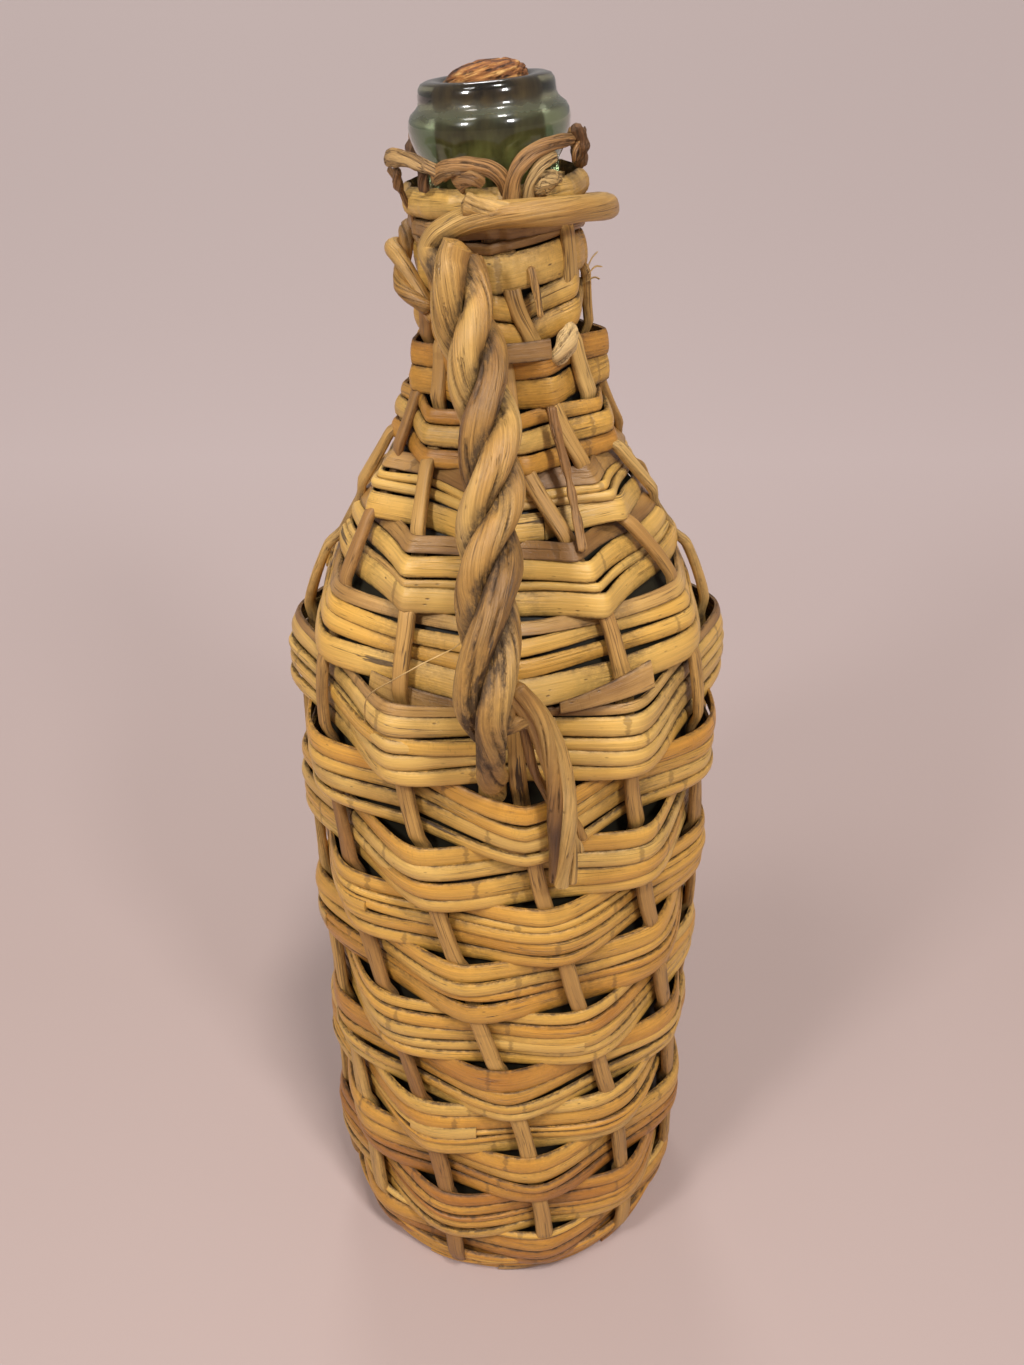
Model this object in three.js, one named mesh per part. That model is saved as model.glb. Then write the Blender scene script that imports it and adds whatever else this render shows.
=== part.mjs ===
// Wicker demijohn: a blown glass bottle in a woven willow cover, with a cork and a twisted handle.
// Millimetres, +Z up. The handle faces the front, -Y. The origin is the middle of the base, on the
// surface that the bottle stands on.
import * as THREE from 'three';

const DEGREE = Math.PI / 180;
const TURN = 2 * Math.PI;

// Glass bottle
const BODY_RADIUS = 67;
const NECK_RADIUS = 19.3;
const GLASS_FOOT = 6.6;
const HEEL_RADIUS = 13;
const PUNT_RADIUS = 48;
const PUNT_RISE = 18;
const PUNT_MIDDLE_RADIUS = 24;
const PUNT_MIDDLE_RISE = 12.6;
const WALL = 3.8;
const SHOULDER_START = 261;
const SHOULDER_PULL = 57;
const NECK_START = 392;
const NECK_PULL = 52;
const LIP_BOTTOM = 431;
const LIP_RING_RADIUS = 23.4;
const LIP_RING_WIDEST = 440.5;
const LIP_RING_TOP = 445;
const LIP_COLLAR_RADIUS = 19.8;
const LIP_TOP = 452;
const LIP_ROUNDING = 2.6;
const LIP_STEP = 0.5;
const BORE_RADIUS = 11.6;
const BORE_END = 408;
const NECK_BORE_RADIUS = 14.2;
const BOTTLE_SEGMENTS = 24;
const SHOULDER_STEPS = 8;
const INNER_SHOULDER_STEPS = 6;
const HEEL_STEPS = 3;

// The upper neck leans to the left, in a bend of this length
const LEAN_START = 366;
const LEAN_LENGTH = 36;
const LEAN_ANGLE = 4.8 * DEGREE;

// Cork
const CORK_FOOT = 414;
const CORK_FOOT_RADIUS = 10.5;
const CORK_RADIUS = 11.2;
const CORK_HEAD_RADIUS = 11.8;
const CORK_TOP = 456.5;
const CORK_BEVEL = 0.8;
const CORK_HEAD_FOOT = 453;
const CORK_HEAD_WALL = 2;
// The dome's rings, so far in from the head's edge and so far down from its top
const CORK_DOME = [[1.6, 1], [5, 0.1]];

// Woven cover: upright stakes, and bands of split cane that pass over and under them
const STAKES = 12;
const STAKE_RADIUS = 2.6;
const STAKE_SIDES = 5;
const STAKE_FOOT = 6.2;
const STAKE_TIP = 426.6;
const FIRST_STAKE_TURN = 1 * DEGREE;
const BODY_TWIST = 41 * DEGREE;
const BODY_TWIST_TOP = 300;
const BODY_TWIST_HEIGHT = 290;
const NECK_TWIST = 22 * DEGREE;
const NECK_TWIST_SWING = 18 * DEGREE;
const NECK_TWIST_SIDE = 70 * DEGREE;
const NECK_TWIST_HEIGHT = 100;
const BODY_BANDS = 12;
const BANDS = 19;
const FIRST_BAND = 17.5;
const BAND_PITCH = 25.5;
const BAND_PITCH_LOSS = 1.62;
const WIDE_SHARE = 0.485;
const NARROW_SHARE = 0.385;
const STRIP_THICKNESS = 2.2;
// What is left of the thickness in the groove between two strips, as a share
const STRIP_GROOVE = 0.25;
const GAP = 0.3;
const PRESS_GAP = 1;
const OVER_HALF_WIDTH = 2.2;
const UNDER_HALF_TURN = 6.3 * DEGREE;
const FIRST_TWO_STRIP_BAND = 16;

// Base
const BASE_RADIUS = 59;
const BASE_THICKNESS = 6.2;
const BASE_EDGE = 2;
const BASE_ROUNDS = 5;
const BASE_GROOVE = 2.4;
const FOOT_INNER_RADIUS = 60;
const FOOT_RADIUS = 66.5;
const FOOT_OUTER_RADIUS = 70.2;
const FOOT_HEIGHT = 5.2;
const FOOT_BULGE = 0.6;

// Border rods, the stakes' tips bent over below the lip
const BORDER_RODS = 4;
const BORDER_ROD_RADIUS = 3.2;
const BORDER_RING_RADIUS = 28.2;
const BORDER_HEIGHT = 431.8;
const BORDER_WAVE = 1.1;
const BORDER_ROD_SPAN = 82 * DEGREE;
const BORDER_START = -96 * DEGREE;
const BORDER_STEPS = 8;
const BORDER_SIDES = 5;
const BORDER_TAPER = 0.2;

// Handle: three strands laid as a rope, bowed out in front of the neck and shoulder. Each strand's own
// ends go on from the rope's: up into the loop, under the loop, into the weave or down as a tail
const STRAND_RADIUS = 4.05;
const LAY_RADIUS = 5.35;
const LAY_TURNS = 710 / 360;
const LAY_START = 200 * DEGREE;
const HANDLE_ROUTE = [
  [-12.6, -36, 410],
  [-9.5, -42, 392.5],
  [-5.8, -51, 375.5],
  [-4, -61, 359],
  [-5, -71.5, 342],
  [-5, -83, 323],
  [-5.8, -91.5, 303],
  [-5.6, -90.5, 286],
];
const LOOP_RISE = [[-15.6, -30.6, 419.5], [-18.6, -32.6, 415.5]];
const FRAYED_END = [[-10.8, -86, 277], [-12.6, -81.4, 268]];
const CUT_TOP = [[-11.6, -39.4, 415]];
const TUCKED_END = [[-4.6, -91.5, 274], [-5.6, -81.2, 259]];
const HIDDEN_TOP = [[-8, -32.9, 412]];
const TAIL = [
  [6.4, -84.8, 288],
  [12.6, -82.4, 275],
  [16.2, -79.8, 262],
  [18.8, -78.2, 247],
  [20.4, -77.4, 231],
];
const TAIL_LEAVES = 0.95;
const LOOP_RADIUS = 31.4;
const LOOP_ROD_RADIUS = 3.3;
const LOOP_START = -20 * DEGREE;
const LOOP_END = 298 * DEGREE;
const LOOP_FRONT = 421;
const LOOP_FALL = 19;
const LOOP_STEPS = 16;
const LAY_STEPS = 28;
const STRAND_SIDES = 6;
const STRAND_STEPS = 34;
// How the strands thin out at their ends, as shares of their length and radius
const LOOP_THICKENS = 0.5;
const LOOP_THICKENS_WITHIN = 0.1;
const FRAY_LENGTH = 0.07;
const FRAY_LOSS = 0.4;
const CUT_LENGTH = 0.05;
const CUT_LOSS = 0.2;
const TAIL_LENGTH = 0.3;
const TAIL_LOSS = 0.12;

const material = (color, roughness) => new THREE.MeshStandardMaterial({ color, roughness, metalness: 0 });
const glassGreen = material(0x9db39a, 0.08);
const corkBrown = material(0xa8713c, 0.9);
const stakeBrown = material(0xb98a4e, 0.6);
const caneOchre = material(0xc79a45, 0.45);
const baseTan = material(0xa98a55, 0.7);
const borderBrown = material(0xab7440, 0.6);
const handleTan = material(0xbd8f4f, 0.55);

// Bends a point of the upright bottle to the left with its neck
function lean(point) {
  const rise = point.z - LEAN_START;
  if (rise <= 0) return point;
  const bent = Math.min(rise, LEAN_LENGTH);
  const angle = (LEAN_ANGLE * bent) / LEAN_LENGTH;
  const bendRadius = LEAN_LENGTH / LEAN_ANGLE;
  const straight = rise - bent;
  const axisX = -bendRadius * (1 - Math.cos(angle)) - straight * Math.sin(angle);
  const axisZ = LEAN_START + bendRadius * Math.sin(angle) + straight * Math.cos(angle);
  return point.set(axisX + point.x * Math.cos(angle), point.y, axisZ + point.x * Math.sin(angle));
}

// Leans a geometry with the neck, and turns its faces outwards
function settle(geometry) {
  const position = geometry.attributes.position;
  const corner = new THREE.Vector3();
  for (let i = 0; i < position.count; i++) {
    lean(corner.fromBufferAttribute(position, i));
    position.setXYZ(i, corner.x, corner.y, corner.z);
  }
  const index = geometry.index.array;
  const corners = [new THREE.Vector3(), new THREE.Vector3(), new THREE.Vector3()];
  let volume = 0;
  for (let i = 0; i < index.length; i += 3) {
    corners.forEach((c, n) => c.fromBufferAttribute(position, index[i + n]));
    volume += corners[0].dot(corners[1].cross(corners[2]));
  }
  if (volume < 0) {
    for (let i = 0; i < index.length; i += 3) {
      [index[i + 1], index[i + 2]] = [index[i + 2], index[i + 1]];
    }
  }
  geometry.computeVertexNormals();
  return geometry;
}

// A solid of revolution about the bottle's axis, from [radius, height] points
function revolve(profile) {
  const points = profile.map(([radius, height]) => new THREE.Vector2(radius, height));
  return settle(new THREE.LatheGeometry(points, BOTTLE_SEGMENTS).rotateX(Math.PI / 2));
}

// A solid through a row of rings: closed on itself, or with a cap at each end
function loft(rings, closed) {
  const sides = rings[0].length;
  const points = rings.flat();
  const index = [];
  const spans = closed ? rings.length : rings.length - 1;
  for (let ring = 0; ring < spans; ring++) {
    const next = (ring + 1) % rings.length;
    for (let side = 0; side < sides; side++) {
      const other = (side + 1) % sides;
      const [a, b] = [ring * sides + side, ring * sides + other];
      const [c, d] = [next * sides + other, next * sides + side];
      index.push(a, b, c, a, c, d);
    }
  }
  if (!closed) {
    for (const ring of [0, rings.length - 1]) {
      const middle = points.length;
      points.push(rings[ring].reduce((sum, p) => sum.add(p), new THREE.Vector3()).divideScalar(sides));
      for (let side = 0; side < sides; side++) {
        const [a, b] = [ring * sides + side, ring * sides + ((side + 1) % sides)];
        index.push(...(ring === 0 ? [middle, b, a] : [middle, a, b]));
      }
    }
  }
  const geometry = new THREE.BufferGeometry().setFromPoints(points);
  geometry.setIndex(index);
  return settle(geometry);
}

// A rod through the given points, with a radius for each share of its length
function rod(points, radiusAt, steps, sides) {
  const curve = new THREE.CatmullRomCurve3(points, false, 'centripetal');
  const frames = curve.computeFrenetFrames(steps, false);
  const rings = [];
  for (let step = 0; step <= steps; step++) {
    const share = step / steps;
    const middle = curve.getPointAt(share);
    const ring = [];
    for (let side = 0; side < sides; side++) {
      const angle = (TURN * side) / sides;
      const across = frames.normals[step].clone().multiplyScalar(Math.cos(angle));
      across.addScaledVector(frames.binormals[step], Math.sin(angle));
      ring.push(middle.clone().addScaledVector(across, radiusAt(share)));
    }
    rings.push(ring);
  }
  return loft(rings, false);
}

// A point at a radius, height and turn about the axis, with turn 0 at the front and +90 degrees at +X
function polar(radius, turn, height) {
  return new THREE.Vector3(radius * Math.sin(turn), -radius * Math.cos(turn), height);
}

function smoothstep(share) {
  const s = Math.min(Math.max(share, 0), 1);
  return s * s * (3 - 2 * s);
}

function shoulderCurve(bodyRadius, neckRadius) {
  return new THREE.CubicBezierCurve(
    new THREE.Vector2(bodyRadius, SHOULDER_START),
    new THREE.Vector2(bodyRadius, SHOULDER_START + SHOULDER_PULL),
    new THREE.Vector2(neckRadius, NECK_START - NECK_PULL),
    new THREE.Vector2(neckRadius, NECK_START),
  );
}

function uprightLine(radius, bottom, top) {
  return new THREE.LineCurve(new THREE.Vector2(radius, bottom), new THREE.Vector2(radius, top));
}

// The glass line that the cover follows, measured along itself from the ground up
const coverLine = new THREE.CurvePath();
coverLine.add(uprightLine(BODY_RADIUS, 0, SHOULDER_START));
coverLine.add(shoulderCurve(BODY_RADIUS, NECK_RADIUS));
coverLine.add(uprightLine(NECK_RADIUS, NECK_START, LIP_BOTTOM));
const COVER_LENGTH = coverLine.getLength();

// A point of the cover: so far along the glass line, so far out from the glass, at a turn about the axis
function onCover(along, out, turn) {
  const share = along / COVER_LENGTH;
  const glass = coverLine.getPoint(share);
  const up = coverLine.getTangent(share);
  return polar(glass.x + up.y * out, turn, glass.y - up.x * out);
}

// Where a stake stands: the body's stakes run to the right going down, the neck's to the left going up
function stakeTurn(stake, along) {
  const base = FIRST_STAKE_TURN + (TURN * stake) / STAKES;
  if (along > BODY_TWIST_TOP) {
    const twist = NECK_TWIST + NECK_TWIST_SWING * Math.cos(base - NECK_TWIST_SIDE);
    return base - twist * smoothstep((along - BODY_TWIST_TOP) / NECK_TWIST_HEIGHT);
  }
  const fall = (BODY_TWIST_TOP - along) / BODY_TWIST_HEIGHT;
  return base + (BODY_TWIST / 2) * (1 - Math.cos(Math.PI * Math.min(fall, 1)));
}

// Bands grow narrower from the shoulder up
function bandPitch(band) {
  return BAND_PITCH - BAND_PITCH_LOSS * Math.max(0, band - BODY_BANDS + 1);
}

function bandMiddle(band) {
  let along = FIRST_BAND;
  for (let lower = 1; lower <= band; lower++) along += bandPitch(lower);
  return along;
}

// Odd stakes show on odd bands and even stakes on even bands
const stakeShows = (stake, band) => (stake + band) % 2 === 0;

const UNDER_STAKE_OUT = GAP + STAKE_RADIUS;
const OVER_STRIP_INNER = UNDER_STAKE_OUT + STAKE_RADIUS + GAP;
const OVER_STAKE_OUT = PRESS_GAP + STRIP_THICKNESS + GAP + STAKE_RADIUS;

// Section of a band, as shares of its half height and of a strip's thickness: a ridge for each strip
function bandSection(strips) {
  const section = [[-1, 0], [1, 0]];
  for (let half = strips * 2 - 1; half >= 1; half--) {
    section.push([half / strips - 1, half % 2 === 1 ? 1 : STRIP_GROOVE]);
  }
  return section;
}

// A band of strips, pressed on the glass behind each stake that shows and bent over the others
function weaveBand(band) {
  const middle = bandMiddle(band);
  const section = bandSection(band < FIRST_TWO_STRIP_BAND ? 3 : 2);
  const rings = [];
  for (let stake = 0; stake < STAKES; stake++) {
    const shows = stakeShows(stake, band);
    const inner = shows ? PRESS_GAP : OVER_STRIP_INNER;
    const halfHeight = bandPitch(band) * (shows ? NARROW_SHARE : WIDE_SHARE);
    const radius = -onCover(middle, inner, 0).y;
    const halfTurn = shows ? UNDER_HALF_TURN : OVER_HALF_WIDTH / radius;
    for (const side of [-1, 1]) {
      rings.push(section.map(([rise, thick]) => {
        const along = middle + rise * halfHeight;
        return onCover(along, inner + thick * STRIP_THICKNESS, stakeTurn(stake, along) + side * halfTurn);
      }));
    }
  }
  return loft(rings, true);
}

// A stake that rises over the bands where it shows and dips behind the others
function stakeRod(stake) {
  const tip = COVER_LENGTH - LIP_BOTTOM + STAKE_TIP;
  const stations = [];
  for (let band = 0; band < BANDS; band++) {
    const shows = stakeShows(stake, band);
    const half = bandPitch(band) * (shows ? NARROW_SHARE : WIDE_SHARE) + GAP;
    const out = shows ? OVER_STAKE_OUT : UNDER_STAKE_OUT;
    stations.push([Math.max(bandMiddle(band) - half, STAKE_FOOT), out]);
    stations.push([Math.min(bandMiddle(band) + half, tip), out]);
  }
  const rings = stations.map(([along, out]) => {
    const ring = [];
    const radius = -onCover(along, out, 0).y;
    for (let side = 0; side < STAKE_SIDES; side++) {
      const angle = (TURN * (side + 0.5)) / STAKE_SIDES - Math.PI / 2;
      const sideways = (STAKE_RADIUS * Math.cos(angle)) / radius;
      ring.push(onCover(along, out + STAKE_RADIUS * Math.sin(angle), stakeTurn(stake, along) + sideways));
    }
    return ring;
  });
  return loft(rings, false);
}

function glassBottle() {
  const heel = (radius, height) => new THREE.QuadraticBezierCurve(
    new THREE.Vector2(radius - HEEL_RADIUS, height),
    new THREE.Vector2(radius, height),
    new THREE.Vector2(radius, height + HEEL_RADIUS),
  ).getPoints(HEEL_STEPS).map((p) => [p.x, p.y]);
  const shoulder = (bodyRadius, neckRadius, steps) =>
    shoulderCurve(bodyRadius, neckRadius).getPoints(steps).map((p) => [p.x, p.y]);
  const ringHalf = LIP_ROUNDING / 2;
  const floor = GLASS_FOOT + WALL;
  return revolve([
    [0, GLASS_FOOT + PUNT_RISE],
    [PUNT_MIDDLE_RADIUS, GLASS_FOOT + PUNT_MIDDLE_RISE],
    [PUNT_RADIUS, GLASS_FOOT],
    ...heel(BODY_RADIUS, GLASS_FOOT),
    ...shoulder(BODY_RADIUS, NECK_RADIUS, SHOULDER_STEPS),
    [NECK_RADIUS, LIP_BOTTOM - LIP_STEP],
    [LIP_RING_RADIUS - LIP_ROUNDING, LIP_BOTTOM + LIP_STEP],
    [LIP_RING_RADIUS, LIP_RING_WIDEST - ringHalf],
    [LIP_RING_RADIUS, LIP_RING_WIDEST + ringHalf],
    [LIP_RING_RADIUS - ringHalf, LIP_RING_TOP - LIP_STEP],
    [LIP_COLLAR_RADIUS, LIP_RING_TOP + LIP_STEP],
    [LIP_COLLAR_RADIUS, LIP_TOP - LIP_ROUNDING],
    [LIP_COLLAR_RADIUS - LIP_ROUNDING, LIP_TOP],
    [BORE_RADIUS + LIP_ROUNDING, LIP_TOP],
    [BORE_RADIUS, LIP_TOP - LIP_ROUNDING],
    [BORE_RADIUS, BORE_END],
    ...shoulder(BODY_RADIUS - WALL, NECK_BORE_RADIUS, INNER_SHOULDER_STEPS).reverse(),
    ...heel(BODY_RADIUS - WALL, floor).reverse(),
    [PUNT_RADIUS, floor],
    [PUNT_MIDDLE_RADIUS, floor + PUNT_MIDDLE_RISE],
    [0, floor + PUNT_RISE],
  ]);
}

function corkStopper() {
  return revolve([
    [0, CORK_FOOT],
    [CORK_FOOT_RADIUS - CORK_BEVEL, CORK_FOOT],
    [CORK_FOOT_RADIUS, CORK_FOOT + CORK_BEVEL],
    [CORK_RADIUS, LIP_TOP - LIP_ROUNDING],
    [CORK_HEAD_RADIUS, CORK_HEAD_FOOT],
    [CORK_HEAD_RADIUS, CORK_HEAD_FOOT + CORK_HEAD_WALL],
    ...CORK_DOME.map(([inset, drop]) => [CORK_HEAD_RADIUS - inset, CORK_TOP - drop]),
    [0, CORK_TOP],
  ]);
}

// The mat that the glass stands on: rounds of weave with a groove between each two
function baseMat() {
  const profile = [[0, 0]];
  for (let round = 1; round < BASE_ROUNDS; round++) {
    const groove = (BASE_RADIUS * round) / BASE_ROUNDS;
    profile.push([groove - BASE_GROOVE, 0], [groove, BASE_GROOVE], [groove + BASE_GROOVE, 0]);
  }
  profile.push([BASE_RADIUS - BASE_EDGE, 0], [BASE_RADIUS, BASE_EDGE]);
  profile.push([BASE_RADIUS, BASE_THICKNESS - BASE_EDGE], [BASE_RADIUS - BASE_EDGE, BASE_THICKNESS]);
  profile.push([0, BASE_THICKNESS]);
  return revolve(profile);
}

function footBorder() {
  return revolve([
    [FOOT_INNER_RADIUS, 0],
    [FOOT_RADIUS, 0],
    [FOOT_OUTER_RADIUS - FOOT_BULGE, FOOT_HEIGHT / 3],
    [FOOT_OUTER_RADIUS, (FOOT_HEIGHT * 2) / 3],
    [FOOT_OUTER_RADIUS - 2 * FOOT_BULGE, FOOT_HEIGHT],
    [FOOT_INNER_RADIUS, FOOT_HEIGHT],
    [FOOT_INNER_RADIUS, 0],
  ]);
}

// Each border rod climbs from behind the last one, runs under the lip and dips at its cut end
function borderRod(number) {
  const start = BORDER_START + (TURN * number) / BORDER_RODS;
  const points = [];
  for (let step = 0; step <= BORDER_STEPS; step++) {
    const share = step / BORDER_STEPS;
    const height = BORDER_HEIGHT + BORDER_WAVE * Math.sin(TURN * share);
    points.push(polar(BORDER_RING_RADIUS, start + share * BORDER_ROD_SPAN, height));
  }
  const radiusAt = (share) => BORDER_ROD_RADIUS * (1 - BORDER_TAPER * Math.abs(2 * share - 1) ** 3);
  return rod(points, radiusAt, BORDER_STEPS, BORDER_SIDES);
}

const toPoints = (route) => route.map((p) => new THREE.Vector3(...p));

// The rope's middle line, from the neck down
const handleLine = new THREE.CatmullRomCurve3(toPoints(HANDLE_ROUTE));

// Points of one strand of the rope, which turns to the left across the front going down
function layPoints(strand, lastShare) {
  const points = [];
  for (let step = 0; step <= LAY_STEPS; step++) {
    const share = (lastShare * step) / LAY_STEPS;
    const down = handleLine.getTangentAt(share);
    const right = new THREE.Vector3(1, 0, 0).addScaledVector(down, -down.x).normalize();
    const front = new THREE.Vector3().crossVectors(right, down).negate();
    const angle = LAY_START - (TURN * strand) / 3 + TURN * LAY_TURNS * share;
    const point = handleLine.getPointAt(share);
    point.addScaledVector(right, LAY_RADIUS * Math.cos(angle));
    point.addScaledVector(front, LAY_RADIUS * Math.sin(angle));
    points.push(point);
  }
  return points;
}

// The first strand runs on up into a loop round the neck, and frays out behind the rope's lower end
function loopStrand() {
  const points = [];
  for (let step = LOOP_STEPS; step >= 0; step--) {
    const share = step / LOOP_STEPS;
    const fall = LOOP_FALL * smoothstep(share);
    points.push(polar(LOOP_RADIUS, LOOP_START + (LOOP_END - LOOP_START) * share, LOOP_FRONT - fall));
  }
  points.push(...toPoints(LOOP_RISE), ...layPoints(0, 1), ...toPoints(FRAYED_END));
  const radiusAt = (share) => {
    const growth = smoothstep((share - LOOP_THICKENS) / LOOP_THICKENS_WITHIN);
    const grown = LOOP_ROD_RADIUS + (STRAND_RADIUS - LOOP_ROD_RADIUS) * growth;
    return grown * (1 - FRAY_LOSS * smoothstep((share - 1 + FRAY_LENGTH) / FRAY_LENGTH));
  };
  return rod(points, radiusAt, STRAND_STEPS + LOOP_STEPS, STRAND_SIDES);
}

// The second strand starts as a cut end under the loop, and is tucked into the weave below
function tuckedStrand() {
  const points = [...toPoints(CUT_TOP), ...layPoints(1, 1), ...toPoints(TUCKED_END)];
  const radiusAt = (share) => STRAND_RADIUS * (1 - CUT_LOSS + CUT_LOSS * smoothstep(share / CUT_LENGTH));
  return rod(points, radiusAt, STRAND_STEPS, STRAND_SIDES);
}

// The third strand leaves the rope to the right as a tail that lies on the weave, cut off at its end
function tailStrand() {
  const points = [...toPoints(HIDDEN_TOP), ...layPoints(2, TAIL_LEAVES), ...toPoints(TAIL)];
  const radiusAt = (share) => STRAND_RADIUS * (1 - TAIL_LOSS * smoothstep((share - 1 + TAIL_LENGTH) / TAIL_LENGTH));
  return rod(points, radiusAt, STRAND_STEPS + TAIL.length, STRAND_SIDES);
}

const demijohn = new THREE.Group();

function addPiece(name, geometry, finish) {
  const mesh = new THREE.Mesh(geometry, finish);
  mesh.name = name;
  demijohn.add(mesh);
}

const numbered = (name, number) => `${name}_${String(number + 1).padStart(2, '0')}`;

addPiece('glass_bottle', glassBottle(), glassGreen);
addPiece('cork_stopper', corkStopper(), corkBrown);
addPiece('base_mat', baseMat(), baseTan);
addPiece('foot_border', footBorder(), baseTan);
for (let stake = 0; stake < STAKES; stake++) {
  addPiece(numbered('stake', stake), stakeRod(stake), stakeBrown);
}
for (let band = 0; band < BANDS; band++) {
  addPiece(numbered('weave_band', band), weaveBand(band), caneOchre);
}
for (let number = 0; number < BORDER_RODS; number++) {
  addPiece(numbered('border_rod', number), borderRod(number), borderBrown);
}
addPiece('handle_strand_loop', loopStrand(), handleTan);
addPiece('handle_strand_tucked', tuckedStrand(), handleTan);
addPiece('handle_strand_tail', tailStrand(), handleTan);

export default demijohn;
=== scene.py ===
# Looks of a wicker demijohn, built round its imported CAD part
import math

import bpy
import numpy as np
from mathutils import Matrix, Vector


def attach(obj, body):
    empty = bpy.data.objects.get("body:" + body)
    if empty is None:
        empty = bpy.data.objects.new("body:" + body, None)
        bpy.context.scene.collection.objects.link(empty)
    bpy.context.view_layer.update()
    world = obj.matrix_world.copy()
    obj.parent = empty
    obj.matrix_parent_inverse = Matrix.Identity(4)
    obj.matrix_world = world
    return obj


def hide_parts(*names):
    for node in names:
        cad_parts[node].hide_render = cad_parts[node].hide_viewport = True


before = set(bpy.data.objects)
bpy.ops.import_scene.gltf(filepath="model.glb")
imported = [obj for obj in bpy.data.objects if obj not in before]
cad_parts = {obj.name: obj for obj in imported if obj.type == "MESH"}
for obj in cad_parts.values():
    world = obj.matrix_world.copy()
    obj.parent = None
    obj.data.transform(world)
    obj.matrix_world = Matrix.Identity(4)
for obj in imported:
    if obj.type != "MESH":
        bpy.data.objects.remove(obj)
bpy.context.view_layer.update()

# Lengths are in millimetres until a mesh is made
MM = 0.001
TURN = 2 * math.pi
DEGREE = math.pi / 180

# Glass bottle
BODY_RADIUS = 67
NECK_RADIUS = 19.3
GLASS_FOOT = 6.6
HEEL_RADIUS = 13
PUNT_RADIUS = 48
PUNT_RISE = 18
# Curve of the pushed-up bottom, as shares of its radius and rise
PUNT_LINE = [(0.3, 0.95), (0.6, 0.72), (0.87, 0.24), (1, 0)]
WALL = 3.8
SHOULDER_START = 261
SHOULDER_PULL = 57
NECK_START = 392
NECK_PULL = 52
LIP_BOTTOM = 431
# Radius and height up the outside of the lip: a round ring below, a narrower collar above
LIP_LINE = [(19.3, 429.5), (20.6, 431.6), (22.2, 435), (23.1, 438), (23.4, 440.5), (23.1, 442.6),
            (22.2, 444.1), (20.9, 445.1), (20.15, 446), (19.8, 447.2), (19.75, 448.8), (19.4, 450.4),
            (18.5, 451.6), (17, 452.1), (15, 452.1), (13.5, 451.7), (12.5, 450.9)]
BORE_RADIUS = 11.6
BORE_END = 408
NECK_BORE_RADIUS = 14.2
GLASS_SEGMENTS = 72
# The outlines start and end so far from the axis
AXIS = 0.05

# The neck bends to the left
LEAN_START = 366
LEAN_LENGTH = 36
LEAN_ANGLE = 4.8 * DEGREE

# Cork
CORK_FOOT = 414
CORK_FOOT_RADIUS = 10.5
CORK_RADIUS = 11.66
CORK_HEAD_RADIUS = 12.1
CORK_HEAD_FOOT = 451
CORK_TOP = 456.5
CORK_SEGMENTS = 96
CORK_DOME_STEPS = 34
CORK_CHIPS = 30

# Stakes of the woven cover
STAKES = 12
STAKE_HALF_WIDTH = 3.35
STAKE_HALF_THICKNESS = 2.3
STAKE_FOOT = 4
STAKE_TIP = 435
STAKE_UNDER = 3.5
STAKE_OVER = 6.0
STAKE_STEPS = 210
STAKE_SIDES = 20
FOOT_TUCK = 16
FIRST_STAKE_TURN = 1 * DEGREE
BODY_TWIST = 41 * DEGREE
BODY_TWIST_TOP = 300
BODY_TWIST_HEIGHT = 290
NECK_TWIST = 22 * DEGREE
NECK_TWIST_SWING = 18 * DEGREE
NECK_TWIST_SIDE = 70 * DEGREE
NECK_TWIST_HEIGHT = 100
# A stake that slants to the left across the neck: how many degrees, from where along, over what length
SLANTS = {2: (14, 388, 22)}
STAKE_TINTS = {2: 0.34, 1: 0.3, 10: 0.08}

# Bands of split cane strips, which pass over and under the stakes
BANDS = 19
BODY_BANDS = 12
FIRST_SHOULDER_BAND = 9
FIRST_NECK_BAND = 14
COLLAR_BAND = 18
STAKES_ON_LAST_BAND = (3, 7, 11)
FIRST_BAND = 17.5
BAND_PITCH = 25.5
BAND_PITCH_LOSS = 1.62
# Half a band's height as a share of its pitch: over a stake and on the glass, then on the upper bands
WIDE_SHARE = 0.54
NARROW_SHARE = 0.535
SHOULDER_SHARE = 0.5
NECK_SHARE = 0.46
COLLAR_SHARE = 0.49
FIRST_BAND_SHARE = 0.84
COLLAR_SWAY = 0.3
STRIP_THICKNESS = 2.1
LOOSE_THICKNESS = 1.5
STRIP_GAP = 0.3
STRIP_LINE = 0.25
STRIP_OVER = 7.0
STRIP_STEPS = 216
STRIP_OPENING = 0.004
STRIPS_OF_BAND = [4, 5, 4, 5, 4, 5, 4, 5, 4, 4, 5, 4]
# How softly a strip bends over a stake, how far its lift reaches, and the least lift of the taut top bands
BODY_CORNER = 11
NECK_CORNER = 1.3
LONGEST_REACH = 27 * DEGREE
TAUT_LIFT = 0.8
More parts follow.
